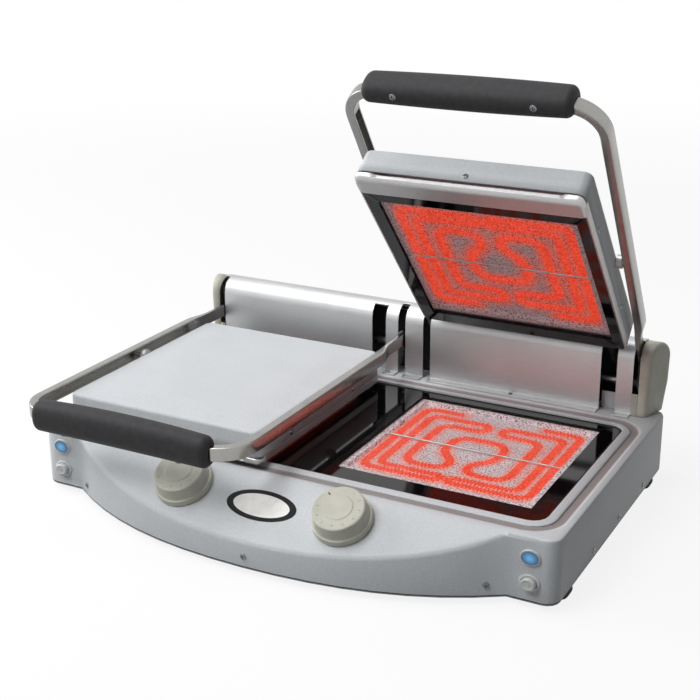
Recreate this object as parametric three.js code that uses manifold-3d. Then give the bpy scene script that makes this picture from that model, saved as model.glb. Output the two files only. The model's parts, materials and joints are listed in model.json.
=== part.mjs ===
import * as THREE from 'three';
import { mergeVertices } from 'three/addons/utils/BufferGeometryUtils.js';
import Module from 'manifold-3d';

const wasm = await Module();
wasm.setup();

// Double contact grill in millimetres: X right, Y back, Z up, the left lid closed and the right one open
// Casing
const casingWidth = 619;
const casingDepth = 366;
const casingCorner = 15;
const deckHeight = 77.5;
const edgeRadius = 4;
const casingSheet = 1.5;
const bowShoulder = 51;
const bowDepth = 70;
const bowApexReach = 105;
const bowFlankReach = 72;
const bowFlankRise = 49;
const panelSlope = 27.5;
const panelBreakInset = 7;

// Base tray and feet
const footHeight = 7;
const footRadius = 15;
const footInset = 18.5;
const footSetback = 44;
const baseSheet = 1.5;
const baseLip = 0.8;
const baseFlange = 8.5;
const baseClearance = 0.9;
const ventLength = 60;
const ventWidth = 5;
const ventPitch = 14;
const ventCount = 4;

// Lower glass and its seat
const glassSideMargin = 29.5;
const glassFrontMargin = 32;
const glassBackMargin = 72;
const glassCorner = 14;
const glassThickness = 4;
const glassDrop = 0.8;
const sealWidth = 2.5;
const sealFoot = 6;
const sealSheet = 1.2;
const ledgeWidth = 9;
const beadWidth = 7;
const beadRise = 1.6;
const channelWidth = 9;
const channelStart = 9;
const channelDepth = 1.1;

// Radiant heaters
const heaterSideInset = 13.5;
const heaterEndInset = 29;
const heaterHeight = 26;
const heaterCorner = 5;
const heaterRim = 12;
const heaterWallSlope = 1.5;
const bedDepth = 10;
const lowerHeaterShift = 10.4;
const ribbonMargin = 6.5;
const ribbonWidth = 6;
const ribbonHeight = 2.4;
const ribbonCorner = 6.5;
const limiterRadius = 1.8;
const limiterDrop = 3;
const limiterHead = 18;
const limiterHeadHeight = 14;

// Units, hinge and handle
const lidGap = 45.6;
const hingeSetback = 6;
const hingeRise = 30.1;
const openAngle = 55.8;
const lidLag = 6.9;
const shaftRadius = 5;
const eyeRadius = 10;
const armWidth = 10;
const armHeight = 15;
const armRise = 44.5;
const lugWidth = 5;
const lugGap = 6.4;
const armGap = 11.6;
const armJogLead = 22;
const armJogTail = 4;
const armWeb = 2.5;
const armFlange = 2;
const armEdge = 1.5;
const barReach = 66;
const barBend = 36;
const gripEndGap = 16;
const gripBoreSlack = 1.2;
const gripForward = 2;
const gripRaise = 1.5;
const gripHeight = 34;
const gripDepth = 26;
const gripEdge = 9;

// Lid
const lidSideMargin = 36.7;
const lidFrontMargin = 6;
const lidBackMargin = 79;
const lidTopRise = 44;
const lidSkirtRise = 14.9;
const lidBottomRise = 6.5;
const lidDraft = 0.6;
const lidCorner = 10;
const lidEdge = 3;
const lidSheet = 1.3;
const lidGlassThickness = 4;
const lidHeaterShift = 6.7;
const lidFrameStep = 1.5;
const lipDrop = 2;
const lipDepth = 26;
const lipEdge = 8;
const pivotShift = 8.7;
const pivotRise = 39.5;
const pivotRadius = 2.5;
const pivotReach = 3;
const bushRadius = 7.5;
const conduitRadius = 5;
const conduitInset = 25.5;
const conduitRise = 14;
const conduitEntry = 1;

// Hinge cover, end caps and brackets
const coverFrontInset = 33;
const coverOverhang = 7;
const coverRise = 87.5;
const coverRadius = 20;
const coverSheet = 1.2;
const coverFootProud = 0.5;
const coverFootRise = 35;
const flangeDepth = 11;
const armSlotInnerClear = 4.4;
const armSlotOuterClear = 5.6;
const outerSlotClear = 3.2;
const capClear = 4.3;
const armSlotReach = 17;
const outerSlotFloorRise = 26.5;
const wideSlotWidth = 19;
const wideSlotReach = 9.5;
const capProud = 1.2;
const capRound = 14;
const capWall = 2.5;
const capDrop = 5;
const bracketInset = 10;
const bracketSheet = 3;
const bracketHead = 13.4;
const bracketFrontGap = 10;
const bracketBackGap = 5;
const bracketPanelRise = 20.5;
const bracketPanelSheet = 1.5;
const bracketPanelWidth = 12;

// Counterbalance springs
const springWire = 4;
const springPitch = 5.5;
const springTurns = 10;
const springSteps = 8;
const springSides = 4;

// Controls
const knobCentreX = -1.8;
const knobOffset = 95.2;
const knobPlaceShare = 0.409;
const knobSkirtRadius = 31.5;
const knobSkirtHeight = 7.5;
const knobDialRadius = 28.6;
const knobTopRadius = 27.2;
const knobHeight = 22;
const knobEdge = 1.2;
const knobDiscRadius = 14.5;
const knobDiscRise = 0.6;
const knobLift = 1.2;
const spindleRadius = 3;
const spindleReach = 12;
const spindleHoleRadius = 5;
const thermostatWidth = 42;
const thermostatHeight = 24;
const thermostatCorner = 5;
const controlInset = 27.2;
const lampHeightShare = 0.6993;
const lampRadius = 7.4;
const lampBezelRadius = 8.6;
const lampDome = 2.2;
const buttonHeightShare = 0.3206;
const buttonRadius = 6.3;
const buttonHeight = 7;
const buttonEdge = 1;
const bezelRadius = 9;
const bezelHeight = 2;
const barrelRadius = 7.8;
const barrelDepth = 22;
const buttonStem = 8;

// Mains inlet
const glandInset = 109.5;
const glandRise = 29;
const glandRadius = 9;
const glandNutRadius = 11;
const glandNutLength = 8;
const glandNoseLength = 6;
const glandBore = 4;
const blockWidth = 50;
const blockDepth = 24;
const blockHeight = 20;
const blockSetback = 40;

// Fits shared by all pieces
const touchGap = 0.3;
const overrun = 3;
const arcSteps = 4;
const turnedSides = 20;
const smallSides = 12;
const bendSteps = 7;

// Places worked out from the sizes above
const casingFrontY = -casingDepth / 2;
const casingBackY = casingDepth / 2;
const bowWidth = casingWidth - 2 * bowShoulder;
const glassWidth = casingWidth - 2 * glassSideMargin;
const glassDepth = casingDepth - glassFrontMargin - glassBackMargin;
const glassCentreY = (glassFrontMargin - glassBackMargin) / 2;
const lidWidth = (casingWidth - lidGap) / 2 - lidSideMargin;
const unitPitch = lidWidth + lidGap;
const lidFrontY = casingFrontY + lidFrontMargin;
const lidBackY = casingBackY - lidBackMargin;
const lidDepth = lidBackY - lidFrontY;
const lidCentreY = (lidBackY + lidFrontY) / 2;
const lidTopZ = deckHeight + lidTopRise;
const lidSkirtZ = deckHeight + lidSkirtRise;
const lidBottomZ = deckHeight + lidBottomRise;
const heaterWidth = lidWidth - 2 * heaterSideInset;
const heaterDepth = lidDepth - 2 * heaterEndInset;
const ribbonReachX = heaterWidth / 2 - heaterRim - ribbonMargin;
const ribbonReachY = heaterDepth / 2 - heaterRim - ribbonMargin;
const lowerHeaterY = glassCentreY + lowerHeaterShift;
const lidHeaterY = lidCentreY + lidHeaterShift;
const hingeY = casingBackY - hingeSetback;
const hingeZ = deckHeight + hingeRise;
const pivotY = lidCentreY + pivotShift;
const pivotZ = deckHeight + pivotRise;
const coverFrontY = casingBackY - coverFrontInset;
const coverBackY = casingBackY + coverOverhang;
const coverTopZ = deckHeight + coverRise;
const coverFootBackY = casingBackY + coverFootProud;
const armCentreZ = deckHeight + armRise;
const armRearOffset = lidWidth / 2 + lugGap;
const armFrontOffset = lidWidth / 2 + armGap;
const armJogFrontY = lidBackY - armJogLead;
const armJogRearY = lidBackY + armJogTail;
const armNeckY = coverFrontY;
const barY = lidFrontY - barReach;
const gripLength = lidWidth - 2 * gripEndGap;
const gripCentreY = barY - gripForward;
const gripCentreZ = armCentreZ + gripRaise;
const conduitOffset = lidWidth / 2 - conduitInset;
const conduitStartZ = lidBottomZ + conduitRise;
const conduitEndY = coverFrontY + conduitEntry;
const innerLugX = unitPitch / 2 - armRearOffset;
const outerLugX = unitPitch / 2 + armRearOffset;
const armSlotInner = innerLugX - armSlotInnerClear;
const armSlotOuter = innerLugX + armSlotOuterClear;
const outerSlotInner = outerLugX - outerSlotClear;
const outerSlotOuter = outerLugX + capClear;
const armSlotEndY = coverFrontY + armSlotReach;
const outerSlotFloorZ = deckHeight + outerSlotFloorRise;
const wideSlotEndY = coverFrontY + wideSlotReach;
const bracketOffset = lidWidth / 2 - bracketInset;
const bracketTopZ = hingeZ + bracketHead;
const bracketFrontY = coverFrontY + bracketFrontGap;
const bracketBackY = coverBackY - bracketBackGap;
const bracketPanelTopZ = deckHeight + bracketPanelRise;
const controlOffset = casingWidth / 2 - controlInset;
const lampZ = footHeight + lampHeightShare * (deckHeight - footHeight);
const buttonZ = footHeight + buttonHeightShare * (deckHeight - footHeight);
const glandX = glandInset - casingWidth / 2;
const glandZ = footHeight + glandRise;
const baseBottom = footHeight + touchGap;
const baseTop = baseBottom + baseSheet;
const casingBottom = baseTop + touchGap;
const glassTop = deckHeight - glassDrop;
const glassBottom = glassTop - glassThickness;
const seatTop = glassBottom - 2 * touchGap - sealSheet;
const panelBreakY = casingFrontY + panelBreakInset;
const slope = THREE.MathUtils.degToRad(panelSlope);
const lugOuter = armRearOffset + lugWidth / 2;
const coverHalfLength = outerSlotOuter;
const capInnerX = coverHalfLength + touchGap;
const lidGlassFrontY = lidFrontY + lipDepth;
const deckSeat = deckHeight + touchGap;

// Finishes
const finishes = {
  silverPaint: { color: 0xb9bcc0, roughness: 0.42, metalness: 0.55 },
  brushedSteel: { color: 0xc3c4c4, roughness: 0.3, metalness: 0.9 },
  polishedAluminium: { color: 0xcfcfcd, roughness: 0.2, metalness: 0.95 },
  darkSteel: { color: 0x6b6c70, roughness: 0.5, metalness: 0.8 },
  blackGlass: { color: 0x121113, roughness: 0.06, metalness: 0 },
  blackRubber: { color: 0x1c1c1d, roughness: 0.75, metalness: 0 },
  charcoalGrip: { color: 0x3c3c3e, roughness: 0.6, metalness: 0 },
  beigePlastic: { color: 0xc6c6b8, roughness: 0.45, metalness: 0 },
  fibreBoard: { color: 0xb9b1b4, roughness: 0.95, metalness: 0 },
  hotRibbon: { color: 0xe8553b, roughness: 0.6, metalness: 0.1 },
  blueLens: { color: 0x4a90c8, roughness: 0.15, metalness: 0 },
};

// Turns a closed geometry into a solid that can be joined and cut
function solid(geometry) {
  const bare = geometry.clone();
  for (const name of ['normal', 'uv']) bare.deleteAttribute(name);
  const merged = mergeVertices(bare);
  const corners = Array.from(merged.index.array);
  const kept = [];
  for (let i = 0; i < corners.length; i += 3) {
    const [a, b, c] = corners.slice(i, i + 3);
    if (a !== b && b !== c && c !== a) kept.push(a, b, c);
  }
  const vertProperties = Float32Array.from(merged.attributes.position.array);
  const triVerts = Uint32Array.from(kept);
  return new wasm.Manifold(new wasm.Mesh({ numProp: 3, vertProperties, triVerts }));
}

// Turns a solid back into a geometry and names it as one piece of the grill
function piece(name, body, finish) {
  const { vertProperties, triVerts } = body.getMesh();
  const geometry = new THREE.BufferGeometry();
  geometry.setAttribute('position', new THREE.BufferAttribute(vertProperties, 3));
  geometry.setIndex(new THREE.BufferAttribute(triVerts, 1));
  geometry.computeVertexNormals();
  const mesh = new THREE.Mesh(geometry, new THREE.MeshStandardMaterial(finishes[finish]));
  mesh.name = name;
  return mesh;
}

// Rounded rectangle as an anticlockwise list of points
function roundedRectangle(width, depth, radius, centreX = 0, centreY = 0) {
  const points = [];
  const corners = [[1, -1], [1, 1], [-1, 1], [-1, -1]];
  corners.forEach(([sx, sy], quarter) => {
    const x = centreX + sx * (width / 2 - radius);
    const y = centreY + sy * (depth / 2 - radius);
    for (let step = 0; step <= arcSteps; step += 1) {
      const angle = (quarter - 1 + step / arcSteps) * Math.PI / 2;
      points.push(new THREE.Vector2(x + radius * Math.cos(angle), y + radius * Math.sin(angle)));
    }
  });
  return points;
}

// Moves every point of a closed outline inwards by a distance, square to its two sides
function inset(points, distance) {
  return points.map((point, i) => {
    const before = points[(i + points.length - 1) % points.length];
    const after = points[(i + 1) % points.length];
    const u = point.clone().sub(before).normalize();
    const v = after.clone().sub(point).normalize();
    const mitre = new THREE.Vector2(-u.y - v.y, u.x + v.x).normalize();
    const reach = distance / Math.max(mitre.dot(new THREE.Vector2(-u.y, u.x)), 0.5);
    return point.clone().addScaledVector(mitre, reach);
  });
}

// Lofts one outline through rings of inset and height, and closes both ends
function stack(outline, rings) {
  const count = outline.length;
  const loops = rings.map(([distance]) => (distance === 0 ? outline : inset(outline, distance)));
  const positions = loops.flatMap((loop, k) => loop.flatMap((p) => [p.x, p.y, rings[k][1]]));
  const faces = [];
  for (let k = 0; k + 1 < rings.length; k += 1) {
    for (let i = 0; i < count; i += 1) {
      const a = k * count + i;
      const b = k * count + (i + 1) % count;
      faces.push(a, b, b + count, a, b + count, a + count);
    }
  }
  const top = (rings.length - 1) * count;
  for (const [a, b, c] of THREE.ShapeUtils.triangulateShape(loops[0], [])) faces.push(a, c, b);
  for (const [a, b, c] of THREE.ShapeUtils.triangulateShape(loops[rings.length - 1], [])) {
    faces.push(top + a, top + b, top + c);
  }
  const geometry = new THREE.BufferGeometry();
  geometry.setAttribute('position', new THREE.Float32BufferAttribute(positions, 3));
  geometry.setIndex(faces);
  return solid(geometry);
}

// Straight prism of an outline between two heights
function prism(outline, low, high) {
  const settings = { depth: high - low, bevelEnabled: false };
  const geometry = new THREE.ExtrudeGeometry(new THREE.Shape(outline), settings);
  return solid(geometry.translate(0, 0, low));
}

// Turns a solid drawn in Y, Z and X into place, so that an outline in Y and Z runs along X
function laidAlongX(body) {
  return body.transform([0, 1, 0, 0, 0, 0, 1, 0, 1, 0, 0, 0, 0, 0, 0, 1]);
}

function block(sizeX, sizeY, sizeZ, x, y, z) {
  return solid(new THREE.BoxGeometry(sizeX, sizeY, sizeZ).translate(x, y, z));
}

// Round piece about Z from pairs of radius and height
function turned(profile, sides = turnedSides) {
  const points = profile.map(([radius, height]) => new THREE.Vector2(radius, height));
  return solid(new THREE.LatheGeometry(points, sides).rotateX(Math.PI / 2));
}

function rod(radius, low, high, sides = turnedSides) {
  return turned([[0, low], [radius, low], [radius, high], [0, high]], sides);
}

const aimedAlongX = (body) => body.rotate([0, 90, 0]);
const aimedForward = (body) => body.rotate([90, 0, 0]);
const aimedBack = (body) => body.rotate([-90, 0, 0]);

// Open path through corner points, each corner rounded by a curve
function roundedPath(corners, radius) {
  const path = [corners[0]];
  for (let i = 1; i + 1 < corners.length; i += 1) {
    const [before, corner, after] = [corners[i - 1], corners[i], corners[i + 1]];
    const reach = Math.min(radius, corner.distanceTo(before) / 2, corner.distanceTo(after) / 2);
    const start = corner.clone().add(before.clone().sub(corner).setLength(reach));
    const end = corner.clone().add(after.clone().sub(corner).setLength(reach));
    path.push(...new THREE.QuadraticBezierCurve(start, corner, end).getPoints(arcSteps - 2));
  }
  path.push(corners[corners.length - 1]);
  return path;
}

// Closed outline at two distances either side of an open path; a distance may depend on the point
function band(path, left, right) {
  const side = (distance) => path.map((point, i) => {
    const before = path[Math.max(i - 1, 0)];
    const after = path[Math.min(i + 1, path.length - 1)];
    const u = point.clone().sub(before);
    const v = after.clone().sub(point);
    const first = (u.length() > 0 ? u : v).clone().normalize();
    const last = (v.length() > 0 ? v : u).clone().normalize();
    const normal = new THREE.Vector2(-first.y - last.y, first.x + last.x).normalize();
    const spread = normal.dot(new THREE.Vector2(-first.y, first.x));
    return point.clone().addScaledVector(normal, distance(point) / spread);
  });
  return [...side((point) => -right(point)), ...side(left).reverse()];
}

// Front bow from its right root to its left root through the apex
function bowCurve() {
  const root = bowWidth / 2;
  const apexY = casingFrontY - bowDepth;
  const half = new THREE.CubicBezierCurve(
    new THREE.Vector2(0, apexY),
    new THREE.Vector2(bowApexReach, apexY),
    new THREE.Vector2(root - bowFlankReach, casingFrontY - bowFlankRise),
    new THREE.Vector2(root, casingFrontY),
  ).getPoints(2 * arcSteps);
  const left = half.slice(1).reverse().map((p) => new THREE.Vector2(-p.x, p.y));
  return [...left, ...half];
}

const panelHeight = (y) => deckHeight - (panelBreakY - y) * Math.tan(slope);

// Bow block whose top is the sloped control panel, rounded along its front edge
function bowBlock(wall, low, rounding) {
  const front = bowCurve();
  const backRight = new THREE.Vector2(bowWidth / 2, panelBreakY);
  const backLeft = new THREE.Vector2(-bowWidth / 2, panelBreakY);
  const closed = [...front, backRight, backLeft];
  const outline = wall === 0 ? closed : inset(closed, wall);
  const drop = wall / Math.cos(slope);
  const rings = [[0, rounding]];
  for (const share of [0.3, 1]) {
    rings.push([rounding * share, rounding * (1 - Math.sqrt(1 - (1 - share) ** 2))]);
  }
  const loops = [outline, ...rings.map(([distance]) => {
    const moved = distance === 0 ? outline : inset(outline, distance);
    return outline.map((point, i) => (i < front.length ? moved[i] : point));
  })];
  const heights = [() => low, ...rings.map(([, lower]) => (p, i) => (
    panelHeight(p.y) - drop - (i < front.length ? lower : 0)))];
  const count = outline.length;
  const positions = loops.flatMap((loop, k) => loop.flatMap((p, i) => [p.x, p.y, heights[k](p, i)]));
  const faces = [];
  for (let k = 0; k + 1 < loops.length; k += 1) {
    for (let i = 0; i < count; i += 1) {
      const a = k * count + i;
      const b = k * count + (i + 1) % count;
      faces.push(a, b, b + count, a, b + count, a + count);
    }
  }
  const top = (loops.length - 1) * count;
  for (const [a, b, c] of THREE.ShapeUtils.triangulateShape(loops[0], [])) faces.push(a, c, b);
  for (const [a, b, c] of THREE.ShapeUtils.triangulateShape(loops[loops.length - 1], [])) {
    faces.push(top + a, top + b, top + c);
  }
  const geometry = new THREE.BufferGeometry();
  geometry.setAttribute('position', new THREE.Float32BufferAttribute(positions, 3));
  geometry.setIndex(faces);
  return solid(geometry);
}

// Space above the sloped panel, cut from the casing block in front of the deck
function panelClearance(drop) {
  const frontY = casingFrontY - bowDepth;
  const outline = [
    new THREE.Vector2(panelBreakY, deckHeight - drop),
    new THREE.Vector2(panelBreakY, deckHeight + overrun),
    new THREE.Vector2(frontY, deckHeight + overrun),
    new THREE.Vector2(frontY, panelHeight(frontY) - drop),
  ];
  return laidAlongX(prism(outline, -bowWidth / 2, bowWidth / 2));
}

// Whole casing block, drawn smaller by a wall for its hollow
function casingBlock(wall, low, rounding) {
  const plan = roundedRectangle(casingWidth - 2 * wall, casingDepth - 2 * wall, casingCorner - wall);
  const top = deckHeight - wall;
  const edge = rounding * (1 - Math.SQRT1_2);
  const rings = [[0, low], [0, top - rounding], [edge, top - edge], [rounding, top]];
  const body = stack(plan, rounding === 0 ? [[0, low], [0, top]] : rings);
  const drop = wall / Math.cos(slope);
  return body.subtract(panelClearance(drop)).add(bowBlock(wall, low, Math.max(rounding, touchGap)));
}

const glassOutline = (margin) => roundedRectangle(
  glassWidth + 2 * margin, glassDepth + 2 * margin,
  glassCorner + Math.max(margin, -glassCorner / 2), 0, glassCentreY);

// Raised bead and pressed channel that run round the glass
function deckPressing() {
  const openingMargin = sealWidth;
  const bead = stack(glassOutline(openingMargin + beadWidth), [
    [0, deckHeight - casingSheet], [0, deckHeight], [beadWidth / 2, deckHeight + beadRise],
    [beadWidth, deckHeight + beadRise],
  ]);
  const channelOuter = glassOutline(openingMargin + channelStart + channelWidth);
  const channel = stack(channelOuter, [
    [channelDepth, deckHeight - channelDepth], [0, deckHeight], [0, deckHeight + overrun],
  ]).subtract(prism(glassOutline(openingMargin + channelStart), 0, deckHeight + 2 * overrun));
  const backingLow = deckHeight - casingSheet - channelDepth;
  const backing = prism(inset(channelOuter, -casingSheet), backingLow, deckHeight - casingSheet / 2)
    .subtract(prism(glassOutline(openingMargin + channelStart - casingSheet), 0, deckHeight));
  return { bead, channel, backing };
}

function upperCasing() {
  const hollow = casingBlock(casingSheet, casingBottom - overrun, 0);
  const { bead, channel, backing } = deckPressing();
  const collarTop = deckHeight - casingSheet / 2;
  const collar = prism(glassOutline(sealWidth + casingSheet), seatTop - casingSheet, collarTop);
  const opening = prism(glassOutline(sealWidth), seatTop, deckHeight + overrun + beadRise);
  const window = prism(glassOutline(sealWidth - ledgeWidth), 0, deckHeight);
  let body = casingBlock(0, casingBottom, edgeRadius).subtract(hollow);
  body = body.add(bead).add(backing).add(collar).subtract(channel).subtract(opening).subtract(window);
  for (const side of [-1, 1]) {
    body = body.subtract(aimedForward(rod(lampRadius, -overrun, 2 * overrun))
      .translate(side * controlOffset, casingFrontY, lampZ));
    body = body.subtract(aimedForward(rod(barrelRadius + touchGap, -overrun, 2 * overrun))
      .translate(side * controlOffset, casingFrontY, buttonZ));
    body = body.subtract(onPanel(rod(spindleHoleRadius, -2 * overrun, overrun), side));
  }
  const glandHole = aimedBack(rod(glandRadius + touchGap, -2 * overrun, overrun));
  return body.subtract(glandHole.translate(glandX, casingBackY, glandZ));
}

// Sets a solid drawn about Z square on the sloped panel at a knob's place
function onPanel(body, side) {
  const y = panelBreakY - knobPlaceShare * (bowDepth + panelBreakInset);
  return body.rotate([panelSlope, 0, 0]).translate(knobCentreX + side * knobOffset, y, panelHeight(y));
}

// Outline of the whole casing in plan
function casingPlan() {
  return [...bowCurve(), ...roundedRectangle(casingWidth, casingDepth, casingCorner)];
}

function baseTray() {
  const plan = casingPlan();
  const plate = prism(inset(plan, baseLip), baseBottom, baseTop);
  const outer = inset(plan, casingSheet + baseClearance);
  const flange = prism(outer, baseTop - baseSheet / 2, baseTop + baseFlange)
    .subtract(prism(inset(outer, baseSheet), baseBottom - overrun, baseTop + baseFlange + overrun));
  let body = plate.add(flange);
  for (const side of [-1, 1]) {
    for (let i = 0; i < ventCount; i += 1) {
      const y = (i - (ventCount - 1) / 2) * ventPitch;
      body = body.subtract(block(ventLength, ventWidth, 2 * baseTop, side * unitPitch / 2, y, baseTop));
    }
  }
  for (const [x, y] of footPlaces()) {
    const screwHole = rod(footRadius / 3 + touchGap, baseBottom - overrun, baseTop + overrun);
    body = body.subtract(screwHole.translate(x, y, 0));
  }
  return body;
}

function footPlaces() {
  const x = casingWidth / 2 - footInset;
  const y = casingDepth / 2 - footSetback;
  return [[-x, -y], [x, -y], [-x, y], [x, y]];
}

// Rubber foot with a neck through the tray and a head that holds it
function foot() {
  const neck = footRadius / 3;
  return turned([
    [0, 0], [footRadius - baseSheet, 0], [footRadius, baseSheet], [footRadius - baseSheet, footHeight],
    [neck, footHeight], [neck, baseTop + touchGap], [neck + baseSheet, baseTop + touchGap],
    [neck, baseTop + 2 * baseSheet], [0, baseTop + 2 * baseSheet],
  ], smallSides);
}

function lowerGlass() {
  const bevel = touchGap * 2;
  return stack(glassOutline(0), [
    [bevel, glassBottom], [0, glassBottom + bevel], [0, glassTop - bevel], [bevel, glassTop],
  ]);
}

// Silicone ring with an upright lip round the glass and a foot under it
function glassSeal() {
  const foot = seatTop + touchGap;
  const outer = prism(glassOutline(sealWidth - touchGap), foot, glassTop);
  const recess = prism(glassOutline(touchGap), foot + sealSheet, glassTop + overrun);
  return outer.subtract(recess).subtract(prism(glassOutline(-sealFoot), foot - overrun, glassTop));
}

// Square fibre heater tray with a sunk bed and a notch for the limiter
function heaterTray() {
  const notch = limiterDrop + limiterRadius + touchGap;
  const bedPlan = roundedRectangle(heaterWidth - 2 * heaterRim, heaterDepth - 2 * heaterRim, heaterCorner);
  const bed = stack(bedPlan, [[heaterWallSlope, -bedDepth], [0, 0], [0, overrun]]);
  const slotWidth = 2 * (limiterRadius + touchGap);
  const slot = block(heaterWidth + overrun, slotWidth, notch + overrun, 0, 0, (overrun - notch) / 2);
  return prism(roundedRectangle(heaterWidth, heaterDepth, heaterCorner), -heaterHeight, 0)
    .subtract(bed).subtract(slot);
}

// Half of the heater ribbon's route, from the middle of its inner loop to its terminal,
// as shares of its reach
const ribbonShares = [
  [0, 0.29], [0.3, 0.29], [0.3, -0.17], [0.11, -0.35], [0.11, -0.62], [0.62, -0.62], [0.62, 0.53],
  [0.08, 0.53], [0.08, 0.73], [0.85, 0.73], [0.85, -0.78], [0.045, -0.78], [0.045, -0.925], [1, -0.925],
  [1, 0.9], [0.52, 0.9],
];

function ribbonRoute() {
  const half = ribbonShares.map(([x, y]) => new THREE.Vector2(x * ribbonReachX, y * ribbonReachY));
  const mirrored = half.slice(1).reverse().map((p) => new THREE.Vector2(-p.x, p.y));
  return roundedPath([...mirrored, ...half.slice(1)], ribbonCorner);
}

function heaterRibbon() {
  const low = -bedDepth + touchGap;
  const half = () => ribbonWidth / 2;
  return prism(band(ribbonRoute(), half, half), low, low + ribbonHeight);
}

// Limiter rod across the tray, with its switch head beside the tray towards the casing's middle
function limiter(side) {
  const end = -side * (heaterWidth - heaterRim) / 2;
  const start = -side * (heaterWidth / 2 + touchGap + limiterHead / 2);
  const bar = aimedAlongX(rod(limiterRadius, Math.min(start, -end), Math.max(start, -end), smallSides));
  const headZ = limiterDrop - touchGap - limiterHeadHeight / 2;
  const head = block(limiterHead, limiterHead, limiterHeadHeight, start, 0, headZ);
  return bar.add(head).translate(0, 0, -limiterDrop);
}

// Cover profile in Y and Z, from the front foot over the rounded top to the back foot
function coverProfile(grow, topZ, footZ) {
  const middle = (coverFrontY + coverBackY) / 2;
  const radius = coverRadius + grow;
  const centreZ = topZ - coverRadius;
  const points = [];
  for (let step = 0; step <= 2 * arcSteps; step += 1) {
    const angle = Math.PI * (1 - step / (2 * arcSteps));
    points.push(new THREE.Vector2(middle + radius * Math.cos(angle), centreZ + radius * Math.sin(angle)));
  }
  points.push(new THREE.Vector2(coverBackY + grow, deckSeat + coverFootRise));
  points.push(new THREE.Vector2(coverFootBackY + grow, footZ));
  points.push(new THREE.Vector2(coverFrontY - grow, footZ));
  return points.reverse();
}

function hingeCover() {
  const outer = laidAlongX(prism(coverProfile(0, coverTopZ, deckSeat), -coverHalfLength, coverHalfLength));
  const hollow = coverProfile(-coverSheet, coverTopZ, deckSeat - overrun);
  const inner = laidAlongX(prism(hollow, -coverHalfLength - overrun, coverHalfLength + overrun));
  const flange = block(2 * coverHalfLength, flangeDepth + coverSheet, coverSheet,
    0, coverFrontY - flangeDepth / 2 + coverSheet / 2, deckSeat + coverSheet / 2);
  let body = outer.subtract(inner).add(flange);
  for (const side of [-1, 1]) {
    body = body.subtract(coverSlot(side * armSlotInner, side * armSlotOuter, armSlotEndY));
    body = body.subtract(coverSlot(side * outerSlotInner, side * (outerSlotOuter + overrun), armSlotEndY));
    const conduitX = side * unitPitch / 2 + conduitOffset;
    body = body.subtract(coverSlot(conduitX - wideSlotWidth / 2, conduitX + wideSlotWidth / 2, wideSlotEndY));
  }
  return body;
}

// Slot that an arm or a conduit swings through, from the front flange over the top
function coverSlot(fromX, toX, endY) {
  const frontY = coverFrontY - flangeDepth - overrun;
  const floor = deckSeat - overrun;
  const height = coverTopZ + overrun - floor;
  const middleX = (fromX + toX) / 2;
  const middleY = (endY + frontY) / 2;
  return block(Math.abs(toX - fromX), endY - frontY, height, middleX, middleY, floor + height / 2);
}

// Moulded end cap: a hollow shell with a soft outer edge, and a tongue that closes the foot of the outer slot
function endCap(side) {
  const outline = coverProfile(capProud, coverTopZ - capDrop, deckSeat - capRound);
  const outerX = casingWidth / 2;
  const rings = [
    [capWall, outerX - capWall - capRound / 2], [capWall, capInnerX], [0, capInnerX], [0, outerX - capRound],
  ];
  for (const share of [0.3, 0.6, 0.85, 1]) {
    rings.push([capRound * (1 - Math.sqrt(1 - share ** 2)) * 0.9, outerX - capRound * (1 - share)]);
  }
  const shell = laidAlongX(stack(outline, rings));
  const belowZ = deckSeat - capRound;
  const below = block(casingWidth, 2 * coverBackY, 2 * capRound, casingWidth / 2, coverBackY / 2, belowZ);
  const tongueInner = outerSlotInner + touchGap;
  const tongueWidth = capInnerX + capWall - tongueInner;
  const tongue = block(tongueWidth, capWall, outerSlotFloorZ - deckSeat, tongueInner + tongueWidth / 2,
    coverFrontY - capProud + capWall / 2, (outerSlotFloorZ + deckSeat) / 2);
  const body = shell.subtract(below).add(tongue);
  return side > 0 ? body : body.mirror([1, 0, 0]);
}

// Bearing bracket on the deck, with a front panel behind one of the slots
function hingeBracket(plateX, panelFrom, panelTo) {
  const high = bracketTopZ;
  const footBackY = coverFootBackY - coverSheet - 2 * touchGap;
  const outline = [
    [bracketFrontY, deckSeat], [footBackY, deckSeat], [bracketBackY, deckSeat + coverFootRise / 2],
    [bracketBackY, high], [bracketFrontY, high],
  ].map(([y, z]) => new THREE.Vector2(y, z));
  const plate = laidAlongX(prism(outline, plateX - bracketSheet / 2, plateX + bracketSheet / 2));
  const panel = block(panelTo - panelFrom, bracketPanelSheet, bracketPanelTopZ - deckSeat,
    (panelTo + panelFrom) / 2, bracketFrontY + bracketPanelSheet / 2, (bracketPanelTopZ + deckSeat) / 2);
  const bore = aimedAlongX(rod(shaftRadius + touchGap, -bracketSheet, bracketSheet))
    .translate(plateX, hingeY, hingeZ);
  return plate.add(panel).subtract(bore);
}

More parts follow.
